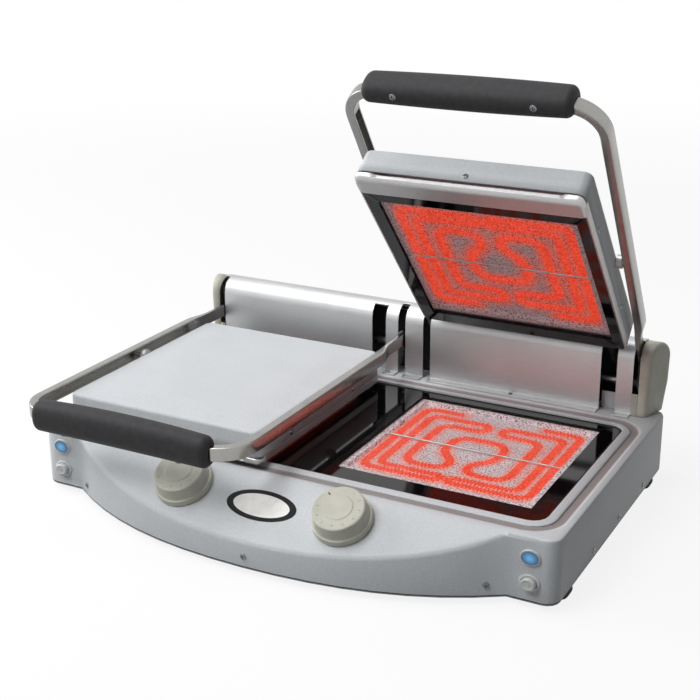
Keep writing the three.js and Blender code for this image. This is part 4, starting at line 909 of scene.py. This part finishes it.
def wound(turns, pitch, radius, wire, steps=28, sides=12):
    """Wire of round section wound along X about the origin: its centre turns once for each pitch."""
    angle = np.linspace(0, 2 * math.pi * turns, turns * steps + 1)[:, None]
    around = np.linspace(0, 2 * math.pi, sides, endpoint=False)[None]
    reach = radius + wire / 2 * np.cos(around)
    along = pitch * (angle / (2 * math.pi) - turns / 2) + wire / 2 * np.sin(around)
    return np.stack([along, reach * np.cos(angle), reach * np.sin(angle)], -1)


for side in SIDES:
    low, high = corners_of(f"counter_spring_{side}")
    hinge = np.array(rest_joints[f"arm_hinge_{side}"]["pos_m"]) / MM
    radius = (high[1] - low[1] - SPRING_WIRE) / 2
    coil = wound(SPRING_TURNS, SPRING_PITCH, radius, SPRING_WIRE)
    surface(f"wound_spring_{side}", coil, "casing", spring_steel, f"counter_spring_{side}",
            matrix=moved((low[0] + high[0]) / 2, hinge[1], hinge[2]), ends="both")
    for end in SIDES:
        keep(f"hinge_bracket_{side}_{end}", satin_silver)
    keep(f"hinge_shaft_{side}", spring_steel)

# The hinge cover is one rolled sheet of brushed steel from cap to cap, slotted for the arms and conduits.
# Its front flange is screwed to the deck.
brushed_steel = sheet_metal("brushed steel", "B4B5B6", "C6C7C8", 0.44, 0.92, 0.5, (30, 1, 1), 1.0)
keep("hinge_cover", brushed_steel)

# A black liner, a sheet of painted shade, lies inside the cover's back and roof, so that its slots look dark
# from the front.
# It is a thin sheet that follows the cover's outline and stays clear of the hinge eyes.
LINER_REACH, LINER_IN, LINER_ROLL, LINER_FOOT, LINER_BEND, LINER_SHEET = 282.5, 1.5, 17.5, 0.1, 35, 0.2
low, high = corners_of("hinge_cover")
roll = np.linspace(0, math.radians(100), 12)
liner_back, liner_top = high[1] - LINER_IN, high[2] - LINER_IN - LINER_ROLL
liner_wall = [(liner_back - 13, low[2] + LINER_FOOT), (liner_back - 6.4, low[2] + LINER_FOOT),
              (liner_back, low[2] + LINER_BEND)]
liner_roof = np.column_stack([liner_back - LINER_ROLL + LINER_ROLL * np.cos(roll),
                              liner_top + LINER_ROLL * np.sin(roll)])
liner_line = np.concatenate([liner_wall, liner_roof])
slot_shade_liner = np.stack([np.column_stack([np.full(len(liner_line), x), liner_line])
                  for x in (-LINER_REACH, LINER_REACH)])
surface("cover_slot_shade_liner", slot_shade_liner, "casing", black_rubber, wall=LINER_SHEET, loop_across=False)

# Two moulded caps close the ends of the cover: a shell with a soft outer edge and an open foot. A tongue
# reaches in from each to close the foot of the outer slot. They are the same plastic as the dials.
CAP_ROUND, CAP_WALL, CAP_SEAM, TONGUE_TALL, TONGUE_GAP = 6, 2.5, 0.3, 26.2, 0.1
CAP_FRONT_X, CAP_BACK_X, CAP_LEAN, CAP_RISE, CAP_HEEL, CAP_BEND = 295, 308, 2, 2.3, 6.5, 35


def cap_grid(low, high, inner_x, outer_x):
    """A rolled outline in Y and Z, drawn along X and then in over a quarter circle to an outer face.

    The face slants: its X grows evenly from front to back, and a little from foot to top. The back leans
    in below its bend, by the heel."""
    front, back, top, foot = low[1], high[1], high[2] + CAP_RISE, low[2]
    radius = (back - front) / 2
    angle = np.linspace(math.pi, 0, 41)
    roof = np.column_stack([front + radius + radius * np.cos(angle), top - radius + radius * np.sin(angle)])
    line = np.concatenate([np.linspace((front, foot), roof[0], 12)[:-1], roof,
                           np.linspace(roof[-1], (back, foot + CAP_BEND), 6)[1:], [(back - CAP_HEEL, foot)]])
    normal = -sideways(line)
    foot_middle = np.array((front + radius, foot))
    quarter = np.linspace(0, math.pi / 2, 12)
    rings = [(inner_x, line), (outer_x - CAP_ROUND, line)]
    rings += [(outer_x - CAP_ROUND * (1 - math.sin(a)), line + normal * CAP_ROUND * (1 - math.cos(a)))
              for a in quarter[1:]]
    face = rings[-1][1]
    rings += [(outer_x, face + (foot_middle - face) * share) for share in (0.3, 0.6, 1.0)]
    rings = [np.column_stack([np.full(len(ring), x), np.maximum(ring, (-1e9, foot))]) for x, ring in rings]
    grid = np.stack(rings)
    deep, tall = (grid[..., 1] - front) / (back - front), (grid[..., 2] - foot) / (top - foot)
    edge = CAP_FRONT_X + (CAP_BACK_X - CAP_FRONT_X) * deep + CAP_LEAN * (tall - 0.5)
    grid[..., 0] = inner_x + (grid[..., 0] - inner_x) * (edge - inner_x) / (outer_x - inner_x)
    return grid


for side, sign in SIDES.items():
    low, high = corners_of(f"end_cap_{side}")
    tongue_inner, outer = min(abs(low[0]), abs(high[0])), max(abs(low[0]), abs(high[0]))
    inner = corners_of("hinge_cover")[1][0] + CAP_SEAM
    surface(f"moulded_cap_{side}", cap_grid(low, high, inner, outer) * (sign, 1, 1), "casing", beige,
            f"end_cap_{side}", wall=CAP_WALL, loop_across=False)
    wide = inner - tongue_inner - TONGUE_GAP
    tongue = soft_block(wide, CAP_WALL, 0.5, 0.3, 0, TONGUE_TALL, side_steps=2, corner_steps=3)
    place = moved(sign * (tongue_inner + wide / 2), low[1] + CAP_WALL / 2, low[2])
    surface(f"cap_tongue_{side}", tongue, "casing", beige, matrix=place, ends="both")

# The mains comes in through a gland in the back wall, beside its terminal block inside the casing.
# The gland is a turned nylon nut with flats and a split nose.
keep("terminal_block", beige)
low, high = corners_of("cable_gland")
gland_reach, gland_long = (high[0] - low[0]) / 2, high[1] - low[1]
gland = rounded_line([(4, 0), (9, 0), (9, 6.2), (gland_reach, 6.2), (gland_reach, 13.5), (8.6, 14.5),
                      (7.2, gland_long), (4, gland_long), (4, 0)], 0.8)
gland_grid = turned(gland, 72)
turn = np.linspace(0, 2 * math.pi, 72, endpoint=False)
flat = math.cos(math.pi / 6) / np.cos((turn % (math.pi / 3)) - math.pi / 6)
hexed = (np.abs(gland_grid[..., 2] - 9.8) < 3.9) & (np.hypot(gland_grid[..., 0], gland_grid[..., 1]) > 10)
gland_grid[..., :2] *= np.where(hexed, flat, 1.0)[..., None]
surface("mains_gland", gland_grid, "casing", black_rubber, "cable_gland",
        matrix=facing(front_middle("cable_gland"), (0, 1, 0)))

# Each lid is a pressed housing, open below, with drafted sides, a soft edge and a slightly crowned top.
# It carries the same silver paint as the casing. The right lid stands open, so its pieces are turned there.
LID_DRAFT, LID_EDGE, LID_CORNER, LID_SHEET, LID_CROWN, CROWN_RISE, LID_LAG = 0.6, 4.5, 10, 1.3, 1.6, 42, 6.9
left_hinge = np.array(rest_joints["arm_hinge_left"]["pos_m"]) / MM
left_pivot = np.array(rest_joints["lid_tilt_left"]["pos_m"]) / MM
open_angle = {"left": 0.0, "right": -rest_joints["arm_hinge_right"]["range_deg"][0]}
unit_x = {side: rest_joints[f"arm_hinge_{side}"]["pos_m"][0] / MM for side in SIDES}


def tipped(angle, axis_y, axis_z):
    """A turn about a line along X, in degrees, that lifts the front when the angle is negative."""
    a = math.radians(angle)
    turn = np.eye(4)
    turn[1:3, 1:3] = [[math.cos(a), -math.sin(a)], [math.sin(a), math.cos(a)]]
    return moved(0, axis_y, axis_z) @ turn @ moved(0, -axis_y, -axis_z)


def centred_corners(node):
    """Corners of a CAD node of the left unit, moved sideways so that the unit's middle is at X 0."""
    low, high = corners_of(node)
    return low - (unit_x["left"], 0, 0), high - (unit_x["left"], 0, 0)


handle_place, lid_place = {}, {}
for side in SIDES:
    swing = tipped(-open_angle[side], left_hinge[1], left_hinge[2])
    lag = LID_LAG if open_angle[side] else 0.0
    handle_place[side] = moved(unit_x[side], 0, 0) @ swing
    lid_place[side] = handle_place[side] @ tipped(lag, left_pivot[1], left_pivot[2])


def housing_grid(low, high):
    """The lid's walls from the skirt up, over the edge's quarter circle and in over a crowned top.

    The crown rises from each edge by a smooth step, and the two directions are multiplied."""
    width, depth = high[0] - low[0], high[1] - low[1]
    top, centre_y = high[2], (low[1] + high[1]) / 2
    levels = [(0, low[2]), (LID_DRAFT * 0.5, (low[2] + top) / 2)]
    for a in np.linspace(0, math.pi / 2, 9):
        levels.append((LID_DRAFT + LID_EDGE * (1 - math.cos(a)), top - LID_EDGE * (1 - math.sin(a))))
    levels += [(inset, top) for inset in (8, 12, 18, 26, 36, 48, 64, 84, 104, 124.9)]
    levels = [(width - 2 * inset, depth - 2 * inset, LID_CORNER - min(inset, 6) * 0.8, z)
              for inset, z in levels]
    grid = stacked(levels, centre=(0, centre_y), side_steps=24, corner_steps=8)
    in_x = np.clip((width / 2 - LID_EDGE - np.abs(grid[..., 0])) / CROWN_RISE, 0, 1)
    in_y = np.clip((depth / 2 - LID_EDGE - np.abs(grid[..., 1] - centre_y)) / CROWN_RISE, 0, 1)
    rise = (in_x * in_x * (3 - 2 * in_x)) * (in_y * in_y * (3 - 2 * in_y))
    grid[..., 2] += LID_CROWN * rise * (grid[..., 2] > top - 0.01)
    return grid


housing = housing_grid(*centred_corners("lid_housing_left"))
for side in SIDES:
    surface(f"pressed_lid_{side}", housing, f"lid_{side}", satin_silver, f"lid_housing_{side}",
            matrix=lid_place[side], wall=LID_SHEET, ends="last")

# Below the housing a bright frame holds the glass: a thin ring, with a thick rounded nose along the front.
# The nose is cut back in a long ledge between its round ends, and a dark gap parts it from the skirt.
NOSE_DEPTH, NOSE_ROUND, NOSE_FALL, NOSE_END, NOSE_GAP, NOSE_LIP = 26, 8, 0.9, 8, 0.8, 1.2
RECESS, RECESS_HALF, RECESS_TALL, RECESS_SLOPE = 4.0, 106, 5.4, 6
RING_WALL, RING_CORNER, RING_START = 2.2, 8, 12


def nose_grid(low, high):
    """A rounded bar: its profile runs down the face, round to the underside and back.

    At the ends it shrinks by what a quarter circle falls. The ledge sets the face back under the top, with
    sloped ends."""
    top, bottom, front = high[2] - NOSE_GAP, low[2], low[1]
    back, round_tall = front + NOSE_DEPTH, NOSE_ROUND * NOSE_FALL
    shoulder = rounded_line([(back, top), (front + NOSE_LIP, top), (front, top - NOSE_LIP)], 1.0)
    angle = np.linspace(0, math.pi / 2, 10)
    face = np.linspace((front, top - NOSE_LIP), (front, bottom + round_tall), 12)[1:]
    quarter = 1 - np.column_stack([np.cos(angle), np.sin(angle)])
    belly = (front, bottom) + (NOSE_ROUND, round_tall) * quarter
    under = np.linspace(belly[-1], (back, bottom), 6)[1:]
    profile = np.concatenate([shoulder, face, belly[1:], under, [(back, top)]])
    half = (high[0] - low[0]) / 2
    ends = half - NOSE_END * (1 - np.cos(np.linspace(0, math.pi / 2, 9)))
    span = np.sort(np.concatenate([-ends, np.linspace(-ends[-1], ends[-1], 60)[1:-1], ends]))
    reach = np.clip((half - np.abs(span)) / NOSE_END, 0, 1)
    inset = NOSE_END * (1 - np.sqrt(1 - (1 - reach) ** 2))
    middle = np.array((back, (top + bottom) / 2))
    shrink = 1 - inset[:, None, None] / np.array((NOSE_DEPTH, (top - bottom) / 2)) * (0.98, 0.55)
    grid = np.empty((len(span), len(profile), 3))
    grid[..., 0] = span[:, None]
    grid[..., 1:] = middle + (profile - middle)[None] * shrink
    ledge = np.clip((RECESS_HALF - np.abs(grid[..., 0])) / RECESS_SLOPE, 0, 1)
    ledge = ledge * (profile[None, :, 1] > top - RECESS_TALL)
    grid[..., 1] = np.maximum(grid[..., 1], front + RECESS * ledge)
    return grid


low, high = centred_corners("lid_frame_left")
glass_low, glass_high = corners_of("lid_glass_left")
nose = nose_grid(low, high)
ring_levels = []
for inset, z in ((0, high[2]), (0, glass_low[2] + 0.6), (0.5, glass_low[2] + 0.1),
                 (RING_WALL, glass_low[2] + 0.1), (RING_WALL, high[2])):
    ring_levels.append((high[0] - low[0] - 2 * inset, high[1] - low[1] - 2 * inset, RING_CORNER - inset, z))
ring = stacked(ring_levels, centre=(0, (low[1] + high[1]) / 2), side_steps=16)
ring[..., 1] = np.maximum(ring[..., 1], low[1] + RING_START)
bright_frame = silver_paint("bright frame", "B6B5B5", "C6C5C5", 0.75, 0.4, 0.6).on_slot("silver_paint")
for side in SIDES:
    surface(f"frame_nose_{side}", nose, f"lid_{side}", bright_frame, f"lid_frame_{side}",
            matrix=lid_place[side], ends="both")
    surface(f"frame_ring_{side}", ring, f"lid_{side}", bright_frame, matrix=lid_place[side], loop_along=True)

# The upper glass is printed black outside a clear window, and the upper heater hangs face down over it.
# The limiter and the wiring conduit are bought parts.
PANE_CORNER, UPPER_WINDOW_BACK = 5, 4
low, high = corners_of("upper_heater_tray_left")
heater_y, heater_z = (low[1] + high[1]) / 2, low[2]
glass_wide, glass_deep = glass_high[0] - glass_low[0] - 2, glass_high[1] - glass_low[1]
pane = soft_block(glass_wide, glass_deep, PANE_CORNER, 0.5, glass_low[2], glass_high[2],
                  centre=(0, (glass_low[1] + glass_high[1]) / 2))
upper_window = [(WINDOW_ASIDE, heater_y + UPPER_WINDOW_BACK)]
upper_glass = window_glass("upper ceramic glass", upper_window, WINDOW_HALF - 1, "bench")
upper_glass.on_slot("black_glass")
upside_down = np.diag((1.0, 1.0, -1.0, 1.0))
for side in SIDES:
    surface(f"ceramic_pane_{side}", pane, f"lid_{side}", upper_glass, f"lid_glass_{side}",
            matrix=lid_place[side], ends="both")
    place = lid_place[side] @ moved(0, heater_y, heater_z) @ upside_down
    put_heater("upper", side, place, f"lid_{side}")
    keep(f"wiring_conduit_{side}", black_rubber)

# Each handle is an aluminium channel bent to a U, open inwards along its arms and flattened at the rear,
# where a round eye turns on the hinge shaft. The metal is polished, with fine lines along its length.
ARM_FRONT, ARM_REAR, ARM_WIDE, ARM_TALL, LUG_WIDE = 136.6, 131.4, 10, 15, 5
ARM_Z, ARM_WEB, ARM_FLANGE, ARM_EDGE, ARM_LIP, BAR_BEND = 122, 2.5, 2, 1.6, 0.5, 36
JOG_FRONT, JOG_REAR, NECK, BAR_Y, EYE_RADIUS = 112.5, 138.5, 180.5, -212.5, 10


def polished(name, dark, light, roughness):
    """Bright metal: slow clouds of polish and fine drawn lines round the bends."""
    finish = Finish(name, dark, Roughness=roughness, Metallic=0.95)
    cloud, lines = finish.grain(35), finish.grain(0.7, (1, 25, 1))
    finish.two_tone(cloud * 0.6 + lines * 0.4, dark, light)
    finish.feed("Roughness", roughness + (lines - 0.5) * 0.06 + (cloud - 0.5) * 0.04)
    return finish.relief(lines, 0.002, 0.3, 0.5)


aluminium = polished("polished aluminium", "93928F", "A3A29E", 0.24).on_slot("polished_aluminium")


def arm_route():
    """Half of the handle in plan: straight lug, jog, straight arm, quarter bend and bar; then its mirror."""
    bend = np.linspace(0, math.pi / 2, 17)
    lead = rounded_line([(-ARM_REAR, NECK), (-ARM_REAR, JOG_REAR), (-ARM_FRONT, JOG_FRONT),
                         (-ARM_FRONT, BAR_Y + BAR_BEND)], 9)
    curve = (-ARM_FRONT, BAR_Y) + BAR_BEND * (1 - np.column_stack([np.cos(bend), np.sin(bend)]))
    half = np.concatenate([lead[:-1], curve])
    return np.concatenate([half, (half * (-1, 1))[::-1]])


def channel_grid():
    """The channel's section carried along the route. Its trench is shut by moving its floor to the lips.

    The outer side has two quarter circles for corners. The inner side is an even run of points that are
    set back by a distance, or by the trench's depth at each station."""
    route, _ = spaced(arm_route(), 4)
    share = np.clip((route[:, 1] - JOG_FRONT) / (JOG_REAR - JOG_FRONT), 0, 1)
    wide = ARM_WIDE + (LUG_WIDE - ARM_WIDE) * share
    inside = (route[:, 1] < JOG_FRONT - 1) & (route[:, 1] > BAR_Y + BAR_BEND)
    trench = np.where(inside, wide - ARM_WEB, 0.0)
    tall = ARM_TALL / 2
    across, high = [], []
    for hub, turn in ((tall - ARM_EDGE, 0), (ARM_EDGE - tall, math.pi / 2)):
        for angle in np.linspace(turn, turn + math.pi / 2, 5):
            across.append(wide / 2 - ARM_EDGE + ARM_EDGE * math.sin(angle))
            high.append(hub + ARM_EDGE * math.cos(angle))
    for offset, z in ((ARM_LIP, -tall), (0, ARM_LIP - tall), (0, ARM_FLANGE - tall),
                      (trench, ARM_FLANGE - tall), (trench, tall - ARM_FLANGE), (0, tall - ARM_FLANGE),
                      (0, tall - ARM_LIP), (ARM_LIP, tall)):
        across.append(offset - wide / 2)
        high.append(z)
    points = route[:, None] - sideways(route)[:, None] * np.stack(across, 1)[..., None]
    heights = np.broadcast_to(ARM_Z + np.array(high), points.shape[:2])
    return np.concatenate([points, heights[..., None]], -1)


def eye_grid(sign):
    """A plate whose outline is the hull of the lug's end and the eye, with small soft edges."""
    turn = np.linspace(0, 2 * math.pi, 72, endpoint=False)
    look = np.column_stack([np.cos(turn), np.sin(turn)])
    hinge = left_hinge[1:]
    lug = (NECK, ARM_Z) + np.array([(-2, -0.5), (-2, 0.5), (-1, 0.5), (-1, -0.5)]) * (1, ARM_TALL)
    reach = look @ lug.T
    corner = lug[reach.argmax(1)]
    use_eye = (look @ hinge + EYE_RADIUS > reach.max(1))[:, None]
    outline = np.where(use_eye, hinge + EYE_RADIUS * look, corner)
    half = LUG_WIDE / 2
    middle = outline.mean(0)
    rings = []
    for x, inset in ((-half, 0.5), (-half + 0.5, 0), (half - 0.5, 0), (half, 0.5)):
        ring = outline + (middle - outline) / np.linalg.norm(middle - outline, axis=1, keepdims=True) * inset
        rings.append(np.column_stack([np.full(len(ring), sign * ARM_REAR + x), ring]))
    return np.stack(rings)


channel = channel_grid()
for side in SIDES:
    surface(f"channel_handle_{side}", channel, f"handle_{side}", aluminium, f"handle_frame_{side}",
            matrix=handle_place[side], shade=32, ends="both")
    for end, sign in SIDES.items():
        surface(f"hinge_eye_{side}_{end}", eye_grid(sign), f"handle_{side}", aluminium,
                matrix=handle_place[side], ends="both")
        keep(f"pivot_bush_{side}_{end}", bright_rod)

# The grip is a charcoal moulding of oval section over the bar, fuller in its middle, with rounded ends.
# Two screws hold it. Its skin has a fine matt grain.
GRIP_HALF, GRIP_TALL, GRIP_DEEP, GRIP_ROUND, GRIP_FULLER, GRIP_SQUARE = 111.5, 34, 26, 8, 1.5, 0.86
GRIP_Y, GRIP_Z, GRIP_BORE = -214.5, 123.5, 1.0


def grip_grid():
    """An oval carried along X. Its size falls over a quarter circle at the ends, down to the bar's hole."""
    turn = np.linspace(0, 2 * math.pi, 72, endpoint=False)
    circle = np.column_stack([np.cos(turn), np.sin(turn)])
    oval = np.sign(circle) * np.abs(circle) ** GRIP_SQUARE
    end = np.linspace(0, math.pi / 2, 10)
    half = [(GRIP_HALF - GRIP_ROUND * (1 - math.sin(a)), GRIP_ROUND * (1 - math.cos(a))) for a in end[::-1]]
    stations = [(GRIP_HALF - 7, "hole"), (GRIP_HALF - 0.6, "hole")] + half
    stations += [(x, 0.0) for x in np.linspace(GRIP_HALF - GRIP_ROUND, 0, 14)[1:]]
    rings = []
    for x, inset in stations:
        full = GRIP_FULLER * (1 - (x / GRIP_HALF) ** 2)
        if inset == "hole":
            ring = oval * (ARM_WIDE / 2 + GRIP_BORE, ARM_TALL / 2 + GRIP_BORE)
            ring = ring + (BAR_Y - GRIP_Y, ARM_Z - GRIP_Z)
        else:
            ring = oval * (GRIP_DEEP / 2 - inset + full, GRIP_TALL / 2 - inset + full) + (full, full)
        rings.append(np.column_stack([np.full(len(ring), x), ring + (GRIP_Y, GRIP_Z)]))
    half_grid = np.stack(rings)
    other = half_grid[::-1][1:] * (-1, 1, 1)
    return np.concatenate([half_grid, other])


charcoal = rubber("charcoal grip", "2C2C2E", "353537", 0.55, 0.62).on_slot("charcoal_grip")
grip = grip_grid()
for side in SIDES:
    surface(f"moulded_grip_{side}", grip, f"handle_{side}", charcoal, f"handle_grip_{side}",
            matrix=handle_place[side], ends="both")

# Small pan-head screws with a cross in them hold the base, the lids, the grips and the cover's flange.
# They are plated steel, and each stands on the face that it holds.
SCREW_RADIUS, SCREW_TALL, CROSS_WIDE, CROSS_LONG, CROSS_DEEP = 3.4, 1.7, 0.13, 0.62, 0.3
plated = polished("plated screw", "5E6064", "8C8E92", 0.25).on_slot("dark_steel")


def screw(name, centre, outward, body, matrix=np.eye(4), radius=SCREW_RADIUS):
    """A shallow dome with a cross cut into its middle, facing outward from its centre."""
    share = np.linspace(0, 1, 15)
    turn = np.linspace(0, 2 * math.pi, 48, endpoint=False)
    reach = np.concatenate([share, [1.0]]) * radius
    height = np.concatenate([SCREW_TALL * np.sqrt(1 - (share * 0.94) ** 2), [-0.6]])
    x, y = reach[:, None] * np.cos(turn), reach[:, None] * np.sin(turn)
    near, far = np.minimum(np.abs(x), np.abs(y)), np.maximum(np.abs(x), np.abs(y))
    cross = (near < radius * CROSS_WIDE) & (far < radius * CROSS_LONG)
    z = np.broadcast_to(height[:, None], x.shape) - cross * radius * CROSS_DEEP
    place = facing(centre, outward, (0, 0, 1) if abs(outward[2]) < 0.9 else (0, 1, 0))
    surface(name, np.stack([x, y, z], -1), body, plated, matrix=matrix @ place)


def seat_on(node, point):
    """The nearest place on a CAD node to a point in millimetres, and the direction it faces."""
    graph = bpy.context.evaluated_depsgraph_get()
    point = [value * MM for value in point]
    _, place, normal, _ = frame["nodes"][node].closest_point_on_mesh(point, depsgraph=graph)
    return np.array(place) / MM, np.array(normal)


casing_side = corners_of("upper_casing")[1][0]
lid_front = corners_of("lid_housing_left")[0][1] + 0.2
grip_foot = GRIP_Z - GRIP_TALL / 2 + 0.9
for number, spot in enumerate(((-246, -170, 21), (3, -226, 21), (246, -170, 21)), 1):
    screw(f"bow_screw_{number}", *seat_on("upper_casing", spot), "casing")
for number, x in enumerate((-198, -34, 130), 1):
    screw(f"flange_screw_{number}", *seat_on("hinge_cover", (x, 176, 80)), "casing", radius=2.8)
for side, sign in SIDES.items():
    for number, y in enumerate((-39.5, 43.5, 132.5), 1):
        screw(f"casing_screw_{side}_{number}", (sign * casing_side, y, 16.5), (sign, 0, 0), "casing")
for side in SIDES:
    body, place = f"lid_{side}", lid_place[side]
    screw(f"lid_screw_{side}_front", (-2, lid_front, 98.5), (0, -1, 0), body, place, 3.0)
    for end, sign in SIDES.items():
        for number, y in enumerate((-80, 62), 1):
            screw(f"lid_screw_{side}_{end}_{number}", (sign * 124.8, y, 97.5), (sign, 0, 0), body, place,
                  2.8)
        screw(f"grip_screw_{side}_{end}", (sign * 74, GRIP_Y - 3, grip_foot), (0, -0.22, -1),
              f"handle_{side}", handle_place[side], 3.6)

low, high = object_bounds()
